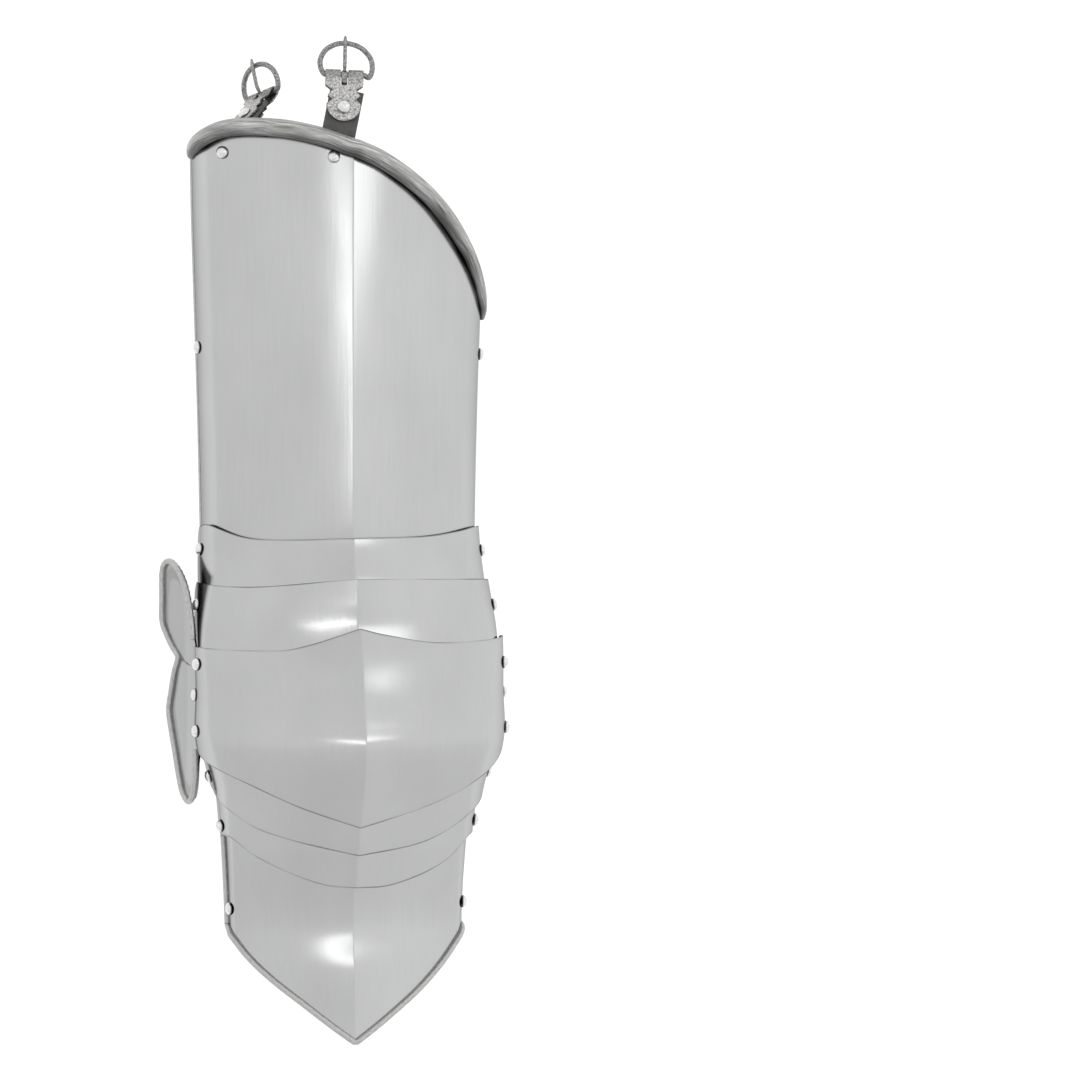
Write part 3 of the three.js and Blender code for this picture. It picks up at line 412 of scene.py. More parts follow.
def textured(tree, kind, coordinate, stretch, scale, **inputs):
    place = tree.nodes.new("ShaderNodeTexCoord")
    mapping = tree.nodes.new("ShaderNodeMapping")
    mapping.inputs["Scale"].default_value = stretch
    texture = tree.nodes.new(kind)
    texture.inputs["Scale"].default_value = scale
    for key, value in inputs.items():
        texture.inputs[key].default_value = value
    tree.links.new(place.outputs[coordinate], mapping.inputs["Vector"])
    tree.links.new(mapping.outputs["Vector"], texture.inputs["Vector"])
    return texture


def ramp(tree, source, stops):
    node = tree.nodes.new("ShaderNodeValToRGB")
    while len(node.color_ramp.elements) < len(stops):
        node.color_ramp.elements.new(0.5)
    for element, (at, colour) in zip(node.color_ramp.elements, stops):
        element.position = at
        colour = colour if isinstance(colour, tuple) else (colour, colour, colour)
        element.color = (*colour, 1)
    tree.links.new(source, node.inputs["Fac"])
    return node.outputs["Color"]


def mixed(tree, kind, factor, a, b):
    node = tree.nodes.new("ShaderNodeMix")
    node.data_type, node.blend_type = "RGBA", kind
    for socket, value in ((node.inputs[0], factor), (node.inputs[6], a), (node.inputs[7], b)):
        if isinstance(value, bpy.types.NodeSocket):
            tree.links.new(value, socket)
        else:
            socket.default_value = value
    return node.outputs[2]


def bump(tree, shader, height, strength, distance):
    node = tree.nodes.new("ShaderNodeBump")
    node.inputs["Strength"].default_value = strength
    node.inputs["Distance"].default_value = distance
    tree.links.new(height, node.inputs["Height"])
    if shader.inputs["Normal"].is_linked:
        tree.links.new(shader.inputs["Normal"].links[0].from_socket, node.inputs["Normal"])
    tree.links.new(node.outputs["Normal"], shader.inputs["Normal"])


def shade_value(tree):
    node = tree.nodes.new("ShaderNodeAttribute")
    node.attribute_name = "shade"
    return node.outputs["Fac"]


def plate_steel():
    material, tree, shader = nodes_of("satin_steel")
    shader.inputs["Metallic"].default_value = 1
    shader.inputs["Specular Tint"].default_value = (0.6, 0.6, 0.6, 1)
    cloud = textured(tree, "ShaderNodeTexNoise", "Object", (1, 0.6, 1), 16, Detail=3)
    tone = ramp(tree, cloud.outputs["Fac"], [(0.3, (0.45, 0.452, 0.455)), (0.7, (0.495, 0.497, 0.50))])
    streak = textured(tree, "ShaderNodeTexNoise", "Object", (1, 0.03, 1), 900, Detail=3)
    fine = ramp(tree, streak.outputs["Fac"], [(0.3, 0.975), (0.7, 1.0)])
    base = mixed(tree, "MULTIPLY", 1.0, tone, fine)
    # Painted shade: the shade attribute darkens the base colour; see sheet_shade and both_faces.
    shade_darkening = ramp(tree, shade_value(tree), [(0.0, 0.05), (0.3, 0.16), (0.6, 0.62), (1.0, 1.0)])
    tree.links.new(mixed(tree, "MULTIPLY", 1.0, base, shade_darkening), shader.inputs["Base Color"])
    rough = ramp(tree, cloud.outputs["Fac"], [(0.3, 0.17), (0.7, 0.22)])
    tree.links.new(rough, shader.inputs["Roughness"])
    bump(tree, shader, streak.outputs["Fac"], 0.04, 0.0004)
    return material


def worn_metal(name, noise, tones, shade_darkening, rough, relief):
    """Metal whose tone, roughness and relief follow one noise, darkened by the shade attribute, which
    holds painted shade on some parts.
    """
    material, tree, shader = nodes_of(name)
    shader.inputs["Metallic"].default_value = 1
    coordinate, stretch, scale, inputs = noise
    amount = textured(tree, "ShaderNodeTexNoise", coordinate, stretch, scale, **inputs).outputs["Fac"]
    shade_darkened = mixed(tree, "MULTIPLY", 1.0, ramp(tree, amount, tones), ramp(tree, shade_value(tree), shade_darkening))
    tree.links.new(shade_darkened, shader.inputs["Base Color"])
    tree.links.new(ramp(tree, amount, rough), shader.inputs["Roughness"])
    bump(tree, shader, amount, *relief)
    return material


def roll_steel():
    """Filed and hammered steel of the rolled hip edge, marked along its length."""
    tones = [(0.32, (0.06, 0.059, 0.057)), (0.43, (0.30, 0.297, 0.29)),
             (0.56, (0.44, 0.438, 0.432)), (0.68, (0.8, 0.796, 0.784))]
    return worn_metal("filed_steel", ("UV", (9, 5, 1), 5, {"Detail": 6, "Roughness": 0.7}), tones,
                      [(0.0, 0.04), (0.5, 0.4), (1.0, 1.0)], [(0.3, 0.46), (0.7, 0.26)], (0.5, 0.0012))


def rim_steel():
    """Steel of the thin beads and rims, cut across their length."""
    tones = [(0.3, (0.34, 0.338, 0.333)), (0.7, (0.52, 0.518, 0.51))]
    return worn_metal("rim_steel", ("UV", (40, 3, 1), 8, {"Detail": 4}), tones,
                      [(0.0, 0.12), (0.5, 0.6), (1.0, 1.0)], [(0.3, 0.42), (0.7, 0.3)], (0.3, 0.0006))


def rivet_steel():
    """Bright domes with dark borders; the borders are a painted shadow, set by the shade attribute."""
    tones = [(0.3, (0.55, 0.55, 0.55)), (0.7, (0.82, 0.82, 0.82))]
    return worn_metal("rivet_steel", ("Object", (1, 1, 1), 900, {"Detail": 3}), tones,
                      [(0.0, 0.03), (0.4, 0.25), (0.7, 1.0)], [(0.3, 0.2), (0.7, 0.32)], (0.35, 0.0005))


def old_silver():
    """Pitted, darkened metal of the buckles and chapes."""
    tones = [(0.34, (0.10, 0.098, 0.095)), (0.45, (0.34, 0.335, 0.33)),
             (0.55, (0.54, 0.535, 0.525)), (0.68, (0.86, 0.85, 0.83))]
    noise = ("Object", (1, 1, 1), 900, {"Detail": 8, "Roughness": 0.7})
    return worn_metal("darkened_metal", noise, tones, [(0.0, 0.15), (0.5, 0.55), (1.0, 1.0)],
                      [(0.35, 0.6), (0.65, 0.32)], (0.5, 0.0008))


def black_leather():
    material, tree, shader = nodes_of("black_leather")
    grain = textured(tree, "ShaderNodeTexVoronoi", "Object", (1, 1, 1), 1100)
    cloud = textured(tree, "ShaderNodeTexNoise", "Object", (1, 1, 1), 120, Detail=5)
    tone = ramp(tree, cloud.outputs["Fac"], [(0.3, (0.036, 0.035, 0.035)), (0.7, (0.08, 0.077, 0.075))])
    tree.links.new(tone, shader.inputs["Base Color"])
    rough = ramp(tree, cloud.outputs["Fac"], [(0.3, 0.62), (0.7, 0.45)])
    tree.links.new(rough, shader.inputs["Roughness"])
    bump(tree, shader, grain.outputs["Distance"], 0.4, 0.0004)
    bump(tree, shader, cloud.outputs["Fac"], 0.25, 0.0008)
    return material


STEEL, ROLLED, RIM, BRIGHT, SILVER, LEATHER = (
    plate_steel(), roll_steel(), rim_steel(), rivet_steel(), old_silver(), black_leather())

# Plates


def plate_columns():
    fine = [k / 56 for k in range(1, 57)]
    half = [0.004, 0.011] + fine
    middle = [-a for a in reversed(half)] + [0] + half
    columns = [(a, 0) for a in middle]
    for k in range(1, 11):
        wall = math.sin(k / 10 * math.pi / 2)
        columns.append((1, wall))
        columns.insert(0, (-1, wall))
    return columns


def plate_grid(name, rows, rear_left=None):
    """Across and y of the plate's grid points, with three rows within 1.2 mm of each edge."""
    arch, top_edge, low_edge, top_corner, low_corner, _ = PLATES[name]
    across, heights = [], []
    for a, wall in plate_columns():
        round_off = 1 - math.sqrt(max(1 - wall**2, 0))
        low = float(edge_height(low_edge, a)) + low_corner * round_off
        top = float(edge_height(top_edge, a)) - top_corner * round_off
        inset = 1.2 / abs(top - low)
        border = np.array([0, 0.3, 0.7]) * inset
        t = np.concatenate([border, np.linspace(0, 1, rows)[1:-1], 1 - border[::-1]])
        y = low + (top - low) * t
        rear = along(arch, y, 4)
        if rear_left is not None and a < 0:
            rear = np.full_like(y, rear_left)
        depth = along(arch, y, 2) - rear
        across.append(a + np.sign(a) * wall * depth / WALL_UNIT)
        heights.append(y)
    return np.array(across), np.array(heights)


def sheet_faces(name, across, y):
    """Front and back faces of the plate's sheet over a grid."""
    arch, seed = PLATES[name][0], PLATES[name][5]
    middle = on_plate(arch, across, y)
    normal = plate_normal(arch, across, y)
    fade = np.clip(np.abs(across) / 0.08, 0, 1)
    moved = middle + normal * (waves(middle, seed) * fade)[..., None]
    return moved + normal * SHEET / 2, moved - normal * SHEET / 2


def sheet_shade(across, y, wing_reflection_depth=0.0):
    """Painted shade of the front face: darker down the sides, painted shadow lines along the cut borders,
    and a painted dark reflection of the wing beside it.
    """
    # Painted shade: the front face darkens towards both side walls.
    outer = 0.14 * np.clip((-across - 0.8) / 0.2, 0, 1)
    front = 1 - outer - 0.14 * np.clip((across - 0.86) / 0.14, 0, 1)
    # Painted dark reflection of the wing: a wedge down the outer side, its strength given by the last
    # argument.
    limit = 0.87 - 0.0032 * (np.minimum(y, 72) - 28) + 0.012 * np.maximum(y - 72, 0)
    wedge = np.clip((-across - limit) / 0.05, 0, 1) * np.clip((y - 20) / 6, 0, 1)
    front = front * (1 - wing_reflection_depth * wedge * np.clip((92 - y) / 8, 0, 1))
    # Painted shadow lines along the cut borders, uneven along the edge and full at the sides.
    border = np.zeros(across.shape[1])
    border[:3], border[-3:] = (0.85, 0.5, 0.1), (0.1, 0.5, 0.85)
    depth = np.clip(0.62 + 0.3 * np.sin(across * 5.3 + y / 19) + 0.16 * np.sin(across * 23), 0.2, 1)
    return front * (1 - border * np.maximum(depth, np.abs(across) > 0.86))


def both_faces(front):
    """Shade of a sheet whose inner face is dark: partly its duller finish, partly painted shade so that
    its reflections read dark.
    """
    return np.concatenate([front.ravel(), np.full(front.size, 0.3)])


def make_plate(name, rows=60):
    across, y = plate_grid(name, rows)
    front, back = sheet_faces(name, across, y)
    points, faces = slab(front, back)
    # The upper lames carry the painted dark reflection of the wing.
    shade = sheet_shade(across, y, 0.78 if name.startswith("upper") else 0.0)
    return points, faces, both_faces(shade)


def edge_line(name, edge, count, lift=0.0):
    """Points along a plate's edge, lifted off the sheet, and the sheet's normals there."""
    arch = PLATES[name][0]
    across = np.linspace(-1, 1, count)
    y = edge_height(edge, across)
    normal = plate_normal(arch, across, y)
    return on_plate(arch, across, y) + normal * lift, normal



def hip_roll():
    """Sheet curled outward over the hip edge, thinner towards its inner end."""
    count = 150
    line, normal = edge_line("thigh_plate", HIP_EDGE, count)
    t = np.linspace(0, 1, count)
    radius, lift = along(HIP_ROLL, t, 1), along(HIP_ROLL, t, 2)
    edge = unit(np.cross(normal, headings(line)))
    centre = line + normal * lift[:, None]
    end = np.radians(305 + 7 * np.sin(t * 37) + 5 * np.sin(t * 91 + 1))
    steps = 30
    around = np.linspace(0, 1, steps)
    rows, uv, shade = [], [], []
    run = run_length(line)
    for i in range(count):
        turn = around * end[i]
        spoke = -np.outer(np.cos(turn), normal[i]) + np.outer(np.sin(turn), edge[i])
        outer = centre[i] + radius[i] * spoke
        inner = centre[i] + (radius[i] - SHEET) * spoke[::-1]
        rows.append(np.concatenate([outer, inner]))
        uv.append(np.stack([np.full(2 * steps, run[i]), np.concatenate([around, around[::-1]])], -1))
        # Painted shade on the roll: its lower half darker, unevenly along the edge, and darker towards
        # the curl's end where it nears the plate; the inside of the curl is painted dark.
        lower_shade_depth = 0.34 + 0.14 * math.sin(run[i] * 70) + 0.1 * math.sin(run[i] * 173)
        lower = np.clip((turn - 3.3) / 0.6, 0, 1)
        edge_shade = np.clip((end[i] - turn) / 0.7, 0.05, 1) * (1 - lower_shade_depth * lower)
        shade.append(np.concatenate([edge_shade, np.full(steps, 0.2)]))
    ring = 2 * steps
    points = np.concatenate(rows)
    faces = []
    for i in range(count - 1):
        for k in range(ring):
            m = (k + 1) % ring
            faces.append((i * ring + k, i * ring + m, (i + 1) * ring + m, (i + 1) * ring + k))
    faces.append(tuple(range(ring))[::-1])
    faces.append(tuple(range((count - 1) * ring, count * ring)))
    return points, faces, np.concatenate(shade), np.concatenate(uv)


def rim_line(name, side, start, end, lift, height=None):
    """Line along a side wall's rear border, or at a height."""
    arch = PLATES[name][0]
    y = np.linspace(start, end, 40)
    z = along(arch, y, 4) if height is None else np.full(len(y), height)
    return np.stack([side * (along(arch, y, 1) + lift), y, z], -1)


def build_thigh():
    points, faces, shade = make_plate("thigh_plate", 90)
    put("thigh_plate_sheet", "thigh", ["thigh_plate"], points, faces, STEEL, shade,
        bevel=0.25)
    points, faces, shade, uv = hip_roll()
    put("thigh_plate_roll", "thigh", [], points, faces, ROLLED, shade, uv, sharp=50)
    for side, word in ((-1, "outer"), (1, "inner")):
        top = float(edge_height(HIP_EDGE, side)) - 1
        line = rim_line("thigh_plate", side, 92, top, 0, RIM_RADIUS["bead"])
        points, faces, uv = tube(line, RIM_RADIUS["bead"])
        put(f"thigh_plate_bead_{word}", "thigh", [], points, faces, RIM,
            np.ones(len(points)), uv)


def build_shin():
    points, faces, shade = make_plate("shin_plate")
    put("shin_plate_sheet", "shin", ["shin_plate"], points, faces, STEEL, shade,
        bevel=0.25)
    lift = 1.3
    left = rim_line("shin_plate", -1, -90, -147, lift)
    right = rim_line("shin_plate", 1, -149, -90, lift)
    low, _ = edge_line("shin_plate", SHIN_LOW, 160, lift)
    points, faces, uv = tube(np.concatenate([left, low, right]), RIM_RADIUS["shin"])
    put("shin_plate_rim", "shin", [], points, faces, RIM, np.ones(len(points)), uv)


# Knee cop with its wing: the rows of the cop's outer side run on to the wing's rim


def wing_x(y, z):
    """Outer side of the leg and the flared wing, joined smoothly."""
    wall = along(KNEE_ARCH, y, 1)
    flare = -WING["x"] + (WING["z"] - z) * WING["flare"]
    soft = WING["soft"]
    rounding = np.sqrt((wall - flare) ** 2 + soft**2) - soft * np.clip((z - 36) / 14, 0, 1)
    return -(wall + flare + rounding) / 2


def build_knee():
    join = WING["join"]
    outer = np.array([-1, 0, WING["flare"]]) / math.hypot(1, WING["flare"])
    across, y = plate_grid("knee_cop", 60, rear_left=join)
    front, back = sheet_faces("knee_cop", across, y)
    rows = front.shape[1]
    rim = catmull(WING_RIM, 300)[::-1]
    last = len(rim) - 1
    inner_y = y[0]
    notch = int(np.argmin(np.hypot(*(rim - WING_NOTCH).T)))
    step_row = int(np.searchsorted(inner_y, WING["step_y"]))
    upper = np.linspace(notch, last, rows - step_row)[1:]
    at = np.concatenate([np.linspace(0, notch, step_row + 1), upper])
    rim_y, rim_z = (np.interp(at, np.arange(last + 1), rim[:, k]) for k in range(2))
    low = np.arange(rows) <= step_row
    columns = 26
    fronts, backs, shades = [], [], []
    for k in range(columns, 0, -1):
        part = k / columns
        # Painted shade on the wing: a little darker overall, with a painted shadow line just inside the
        # rolled rim.
        shades.append(np.full(rows, 0.95) - 0.2 * (0.84 < part < 0.95))
        wing_y = inner_y + (rim_y - inner_y) * part
        z = join + (rim_z - join) * part
        x = wing_x(wing_y, z)
        tip = np.clip((wing_y + 44) / 10, 0, 1) * np.clip((np.arange(rows)) / 3.0, 0, 1)
        recess = np.where(low, WING["recess"] * tip, 0.0) * np.clip(part * 9, 0, 1) * (1 - part**3)
        # Painted shade in the join where the wing's lower part meets the cop's side.
        shades[-1] -= np.where(low, 0.4 * tip, 0.0) * np.clip(1 - part * 6, 0, 1)
        place = np.stack([x, wing_y, z], -1) - recess[:, None] * outer
        fronts.append(place + outer * SHEET / 2)
        backs.append(place - outer * SHEET / 2)
    front = np.concatenate([np.array(fronts), front])
    back = np.concatenate([np.array(backs), back])
    points, faces = slab(front, back)
    shade = np.concatenate([np.array(shades), sheet_shade(across, y)])
    put("knee_cop_sheet", "knee", ["knee_cop"], points, faces, STEEL,
        both_faces(shade), sharp=35, bevel=0.2)
    line = catmull(WING_RIM, 220)
    rim3 = np.stack([WING["x"] - (WING["z"] - line[:, 1]) * WING["flare"], line[:, 0], line[:, 1]], -1)
    t = np.linspace(0, 1, len(rim3))
    rope = np.where(t < 0.28, 0.16 * np.sin(t * 900), 0)
    points, faces, uv = tube(rim3 + outer * 1.4, RIM_RADIUS["wing"] + rope)
    put("knee_cop_wing_rim", "knee", [], points, faces, RIM, np.ones(len(points)), uv)


# Rivets


def dome_rivet(name, body, frame_matrix, base, foot, head):
    """Turned rivet: low dome, shank and inner head, around the local z axis."""
    profile = [(0, base + RIVET["dome"])]
    rim = 0.35
    for k in range(1, 11):
        turn = k / 10 * math.pi / 2
        height = base + rim + (RIVET["dome"] - rim) * math.cos(turn) ** 0.9
        profile.append((head * math.sin(turn), height))
    profile += [(head, base), (RIVET["shank"], base), (RIVET["shank"], foot), (RIVET["inner"], foot),
                (RIVET["inner"] * 0.9, foot - RIVET["tail"] * 0.5), (0, foot - RIVET["tail"])]
    sides = 28
    points, shade = [], []
    for radius, height in profile:
        for k in range(sides):
            turn = 2 * math.pi * k / sides
            points.append((radius * math.cos(turn), radius * math.sin(turn), height))
            # Painted shadow: the head darkens towards its base, and the parts under the head are set
            # dark.
            shade.append(np.clip((height - base) / 1.3, 0, 1) if height >= base else 0.1)
    faces = []
    for i in range(len(profile) - 1):
        for k in range(sides):
            m = (k + 1) % sides
            faces.append((i * sides + k, (i + 1) * sides + k, (i + 1) * sides + m, i * sides + m))
    local = np.array(points)
    placed = local @ frame_matrix[:3, :3].T + frame_matrix[:3, 3]
    put(f"{name}_turned", body, [name], placed, faces, BRIGHT, shade, sharp=45)


def rivet_frame(place, normal):
    side = unit(np.cross(normal, (0.13, 1, 0.07)))
    matrix = np.eye(4)
    matrix[:3] = np.stack([side, np.cross(normal, side), normal, place], -1)
    return matrix


def face_reach(arch, side, y, z, face, place, normal, radius):
    """How far the sheet's face reaches along a direction, all round a rivet."""
    reaches = []
    for turn in np.linspace(0, 2 * np.pi, 12, endpoint=False):
        near = y + radius * math.cos(turn)
        a = across_at(arch, side, near, z + radius * math.sin(turn))
        point = on_plate(arch, a, near) + plate_normal(arch, a, near) * face * SHEET / 2
        reaches.append(float(np.dot(point - place, normal)))
    return max(reaches) if face > 0 else min(reaches)


def set_rivet(name, outer, inner, side, y, z, backing, body):
    arch = PLATES[outer][0]
    a = across_at(arch, side, y, z)
    place, normal = on_plate(arch, a, y), plate_normal(arch, a, y)
    base = face_reach(arch, side, y, z, 1, place, normal, 2.6) + 0.05
    below = PLATES[inner or outer][0]
    behind = face_reach(below, side, y, z, -1, place, normal, RIVET["inner"] + 0.7)
    foot = behind - RIVET["under"] - backing
    dome_rivet(name, body, rivet_frame(place, normal), base, foot, RIVET["head"])


# Straps and hanger tabs


def band(centres, sides, normals, width, thick):
    """Leather strip with rounded edges along centres."""
    edge = 0.9
    profile = []
    for x, z in ((1, 1), (-1, 1), (-1, -1), (1, -1)):
        for k in range(4):
            turn = (k / 3) * math.pi / 2
            if (x, z) in ((1, 1), (-1, -1)):
                c, s = math.cos(turn), math.sin(turn)
            else:
                c, s = math.sin(turn), math.cos(turn)
            profile.append((x * (width / 2 - edge * (1 - c)), z * (thick / 2 - edge * (1 - s))))
    count = len(profile)
    points = []
    for centre, side, normal in zip(centres, sides, normals):
        points += [centre + side * x + normal * z for x, z in profile]
    faces = []
    for i in range(len(centres) - 1):
        for k in range(count):
            m = (k + 1) % count
            faces.append((i * count + k, i * count + m, (i + 1) * count + m, (i + 1) * count + k))
    faces.append(tuple(range(count))[::-1])
    faces.append(tuple(range((len(centres) - 1) * count, len(centres) * count)))
    return np.array(points), faces


def spline(points, count):
    """Uniform smooth curve through flat points."""
    p = np.asarray(points, float)
    n = len(p)
    out = []
    for t in np.linspace(0, 1, count):
        at = (n - 1) * t
        i = min(int(at), n - 2)
        w = at - i
        p0, p1, p2, p3 = p[max(i - 1, 0)], p[i], p[i + 1], p[min(i + 2, n - 1)]
        v0, v1 = (p2 - p0) / 2, (p3 - p1) / 2
        cubic = 2 * p1 - 2 * p2 + v0 + v1
        square = -3 * p1 + 3 * p2 - 2 * v0 - v1
        out.append(cubic * w**3 + square * w**2 + v0 * w + p1)
    return np.array(out)


def build_strap(name, plate, y, z, width, seat, runs, body):
    arch = PLATES[plate][0]
    depth = SHEET / 2 + seat + STRAP_THICK / 2
    half = []
    for height in (z + 4.5, z + 1, z - 4):
        a = across_at(arch, 1, y, height)
        point = on_plate(arch, a, y) - plate_normal(arch, a, y) * depth
        half.append((point[0], point[2]))
    wall = half[-1][0]
    half += [(wall - inset, height) for inset, height in runs]
    line = spline([(-x, h) for x, h in half] + half[::-1], 160)
    centres = np.stack([line[:, 0], np.full(len(line), y), line[:, 1]], -1)
    tangent = unit(np.gradient(centres, axis=0))
    side = np.tile([0.0, 1.0, 0.0], (len(line), 1))
    points, faces = band(centres, side, unit(np.cross(side, tangent)), width, STRAP_THICK)
    put(f"{name}_strap_leather", body, [f"{name}_strap"], points, faces, LEATHER)
    middle = int(np.argmax(line[:, 0] > SLIDE["x"]))
    run = unit(centres[middle + 1] - centres[middle - 1])
    up = unit(np.cross(run, [0, 1, 0]))
    inner = np.array([width / 2 + SLIDE["gap"], STRAP_THICK / 2 + SLIDE["gap"]])
    outer = inner + SLIDE["wall"]
    loops = []
    for end, size in ((-1, outer), (1, outer), (1, inner), (-1, inner)):
        for cy, cz in ((1, 1), (-1, 1), (-1, -1), (1, -1)):
            loops.append(centres[middle] + run * end * SLIDE["length"] / 2
                         + np.array([0, 1.0, 0]) * cy * size[0] + up * cz * size[1])
    faces = []
    for i in range(4):
        for k in range(4):
            m, n = (k + 1) % 4, (i + 1) % 4
            faces.append((i * 4 + k, n * 4 + k, n * 4 + m, i * 4 + m))
    put(f"{name}_strap_slide_metal", body, [f"{name}_strap_slide"], loops, faces,
        SILVER, np.ones(len(loops)), bevel=0.5)


def turned(v, axis, degrees):
    return np.array(Matrix.Rotation(math.radians(degrees), 3, Vector(axis)) @ Vector(v))


def chape_mesh():
    """Folded chape plate in its own frame: x across, y towards the ring, z front."""
    half, top, slot = CHAPE["half"], -CHAPE["depth"], CHAPE["slot"]
    end_y, end_radius = -19.1, 11
    notched = [(1, top), (0.64, -10.1), (0.875, -13.8), (0.64, -16.1), (0.917, end_y)]
    right = [(x * half, y) for x, y in notched]
    end = [(end_radius * math.cos(t), end_y - end_radius * math.sin(t))
           for t in np.linspace(0, math.pi, 25)[1:-1]]
    left = [(-x, y) for x, y in right[::-1]]
    outline = right + end + left + [(-slot, top), (slot, top)]
    count = len(outline)
    flat = np.array(outline)
    run = unit(np.roll(flat, -1, 0) - flat)
    corner = run + np.roll(run, 1, 0)
    border = 0.9
    inset = flat + border * unit(np.stack([corner[:, 1], -corner[:, 0]], -1))
    points, faces, shade = [], [], []
    for sign in (1, -1):
        base = len(points)
        points += [(x, y, sign * LEAF_OUT) for x, y in outline]
        points += [(x, y, sign * LEAF_IN) for x, y in outline]
        points += [(x, y, sign * LEAF_OUT) for x, y in inset]
        # Painted shade: dark along the chape's borders and on the inner faces of its leaves; the fold
        # round the bar is set a little darker below.
        shade += [1.0 if y == top else 0.2 for _, y in outline] + [0.2] * count + [1.0] * count
        front, back, middle = (tuple(range(base + n * count, base + (n + 1) * count)) for n in range(3))
        faces += [middle[::-1] if sign > 0 else middle, back if sign > 0 else back[::-1]]
        for k in range(count):
            m = (k + 1) % count
            quad = (front[k], middle[k], middle[m], front[m])
            faces.append(quad if sign > 0 else quad[::-1])
            if k in (count - 3, count - 1):
                continue
            quad = (front[k], front[m], back[m], back[k])
            faces.append(quad if sign > 0 else quad[::-1])
    turns = np.linspace(math.pi / 2, -math.pi / 2, 13)
    path = [(top, 1.0)] + [(None, t) for t in turns] + [(top, -1.0)]
    for x0, x1 in ((-half, -slot), (slot, half)):
        base = len(points)
        for y, t in path:
            for radius in (LEAF_OUT, LEAF_IN):
                bent = (radius * math.cos(t), radius * math.sin(t))
                py, pz = (y, t * radius) if y is not None else bent
                points += [(x0, py, pz), (x1, py, pz)]
                shade += [0.6, 0.6]
        for i in range(len(path) - 1):
            a, b = base + 4 * i, base + 4 * (i + 1)
            faces += [(a, a + 1, b + 1, b), (a + 3, a + 2, b + 2, b + 3),
                      (a + 2, a, b, b + 2), (a + 1, a + 3, b + 3, b + 1)]
    return np.array(points), faces, shade


def merged(obj):
    """Joins doubled points, so that shared borders aren't edges."""
    work = bmesh.new()
    work.from_mesh(obj.data)
    bmesh.ops.remove_doubles(work, verts=work.verts, dist=1e-6)
    bmesh.ops.recalc_face_normals(work, faces=work.faces)
    work.to_mesh(obj.data)
    work.free()


def build_hanger(row):
    name, arch = row["name"], THIGH_ARCH
    across = 0.0
    while on_plate(arch, across, row["y"])[0] > row["x"]:
        across -= 0.001
    place, normal = on_plate(arch, across, row["y"]), plate_normal(arch, across, row["y"])
    up = unit(np.array([0, 1, 0]) - normal * normal[1])
    up = turned(up, normal, row["lean"])
    side = np.cross(up, normal)
    root = place - normal * (SHEET / 2 + row["seat"] + TAB["thick"] / 2)
    far_up = unit(row["along"])
    far_side = np.array(row["across"], float)
    far_side = unit(far_side - np.dot(far_side, far_up) * far_up)
    far_out = np.cross(far_side, far_up)
    bolt = np.array(row["bolt"], float)
    start = root + up * TAB["flat"]
    end_up = turned(far_up, far_out, row["turn"])
    end_side = np.cross(end_up, far_out)
    end = bolt - end_up * TAB["grip"]
    stretch = np.linalg.norm(end - start)
    p = [start, start + up * stretch * 0.4, end - end_up * stretch * 0.4, end]
    stations = [(start - up * (TAB["flat"] + TAB["tail"]) * (1 - k / 6), 0.0) for k in range(6)]
    for t in np.linspace(0, 1, 25):
        at = (1 - t)**3 * p[0] + 3 * (1 - t)**2 * t * p[1] + 3 * (1 - t) * t**2 * p[2] + t**3 * p[3]
        stations.append((at, t))
    inside = TAB["grip"] + CHAPE["reach"] - TAB["end"]
    stations += [(end + end_up * inside * k / 6, 1.0) for k in range(1, 7)]
    faces_of = [[], []]
    edges = np.concatenate([[-1, -0.96], np.linspace(-0.9, 0.9, 13), [0.96, 1]])
    for edge in edges:
        thin = TAB["thick"] / 2 * math.sqrt(max(1 - max(abs(edge) - 0.9, 0)**2 / 0.0115, 0.05))
        columns = [[], []]
        for at, t in stations:
            legs = (1 - t)**2, 2 * (1 - t) * t, t**2
            tangent = unit(sum(3 * leg * (p[k + 1] - p[k]) for k, leg in enumerate(legs)))
            wide = side * (1 - t) + end_side * t
            wide = unit(wide - np.dot(wide, tangent) * tangent)
            out = np.cross(wide, tangent)
            sag = row["sag"] * (1 - t**3) * max(abs(edge) - 0.4, 0) / 0.6
            for column, face in zip(columns, (1, -1)):
                column.append(at + wide * edge * TAB["width"] / 2 + out * (face * thin - sag))
        faces_of[0].append(columns[0])
        faces_of[1].append(columns[1])
    points, faces = slab(np.array(faces_of[0]), np.array(faces_of[1]))
    put(f"{name}_hanger_leather", "thigh", [f"{name}_hanger_tab"], points, faces, LEATHER)
    hang_metal(row, far_side, far_up, bolt)
    dome_rivet(f"{name}_hanger_rivet", "thigh", rivet_frame(place, normal), SHEET / 2 + 0.1,
               -SHEET / 2 - row["seat"] - TAB["thick"] - RIVET["seat"], RIVET["head"])


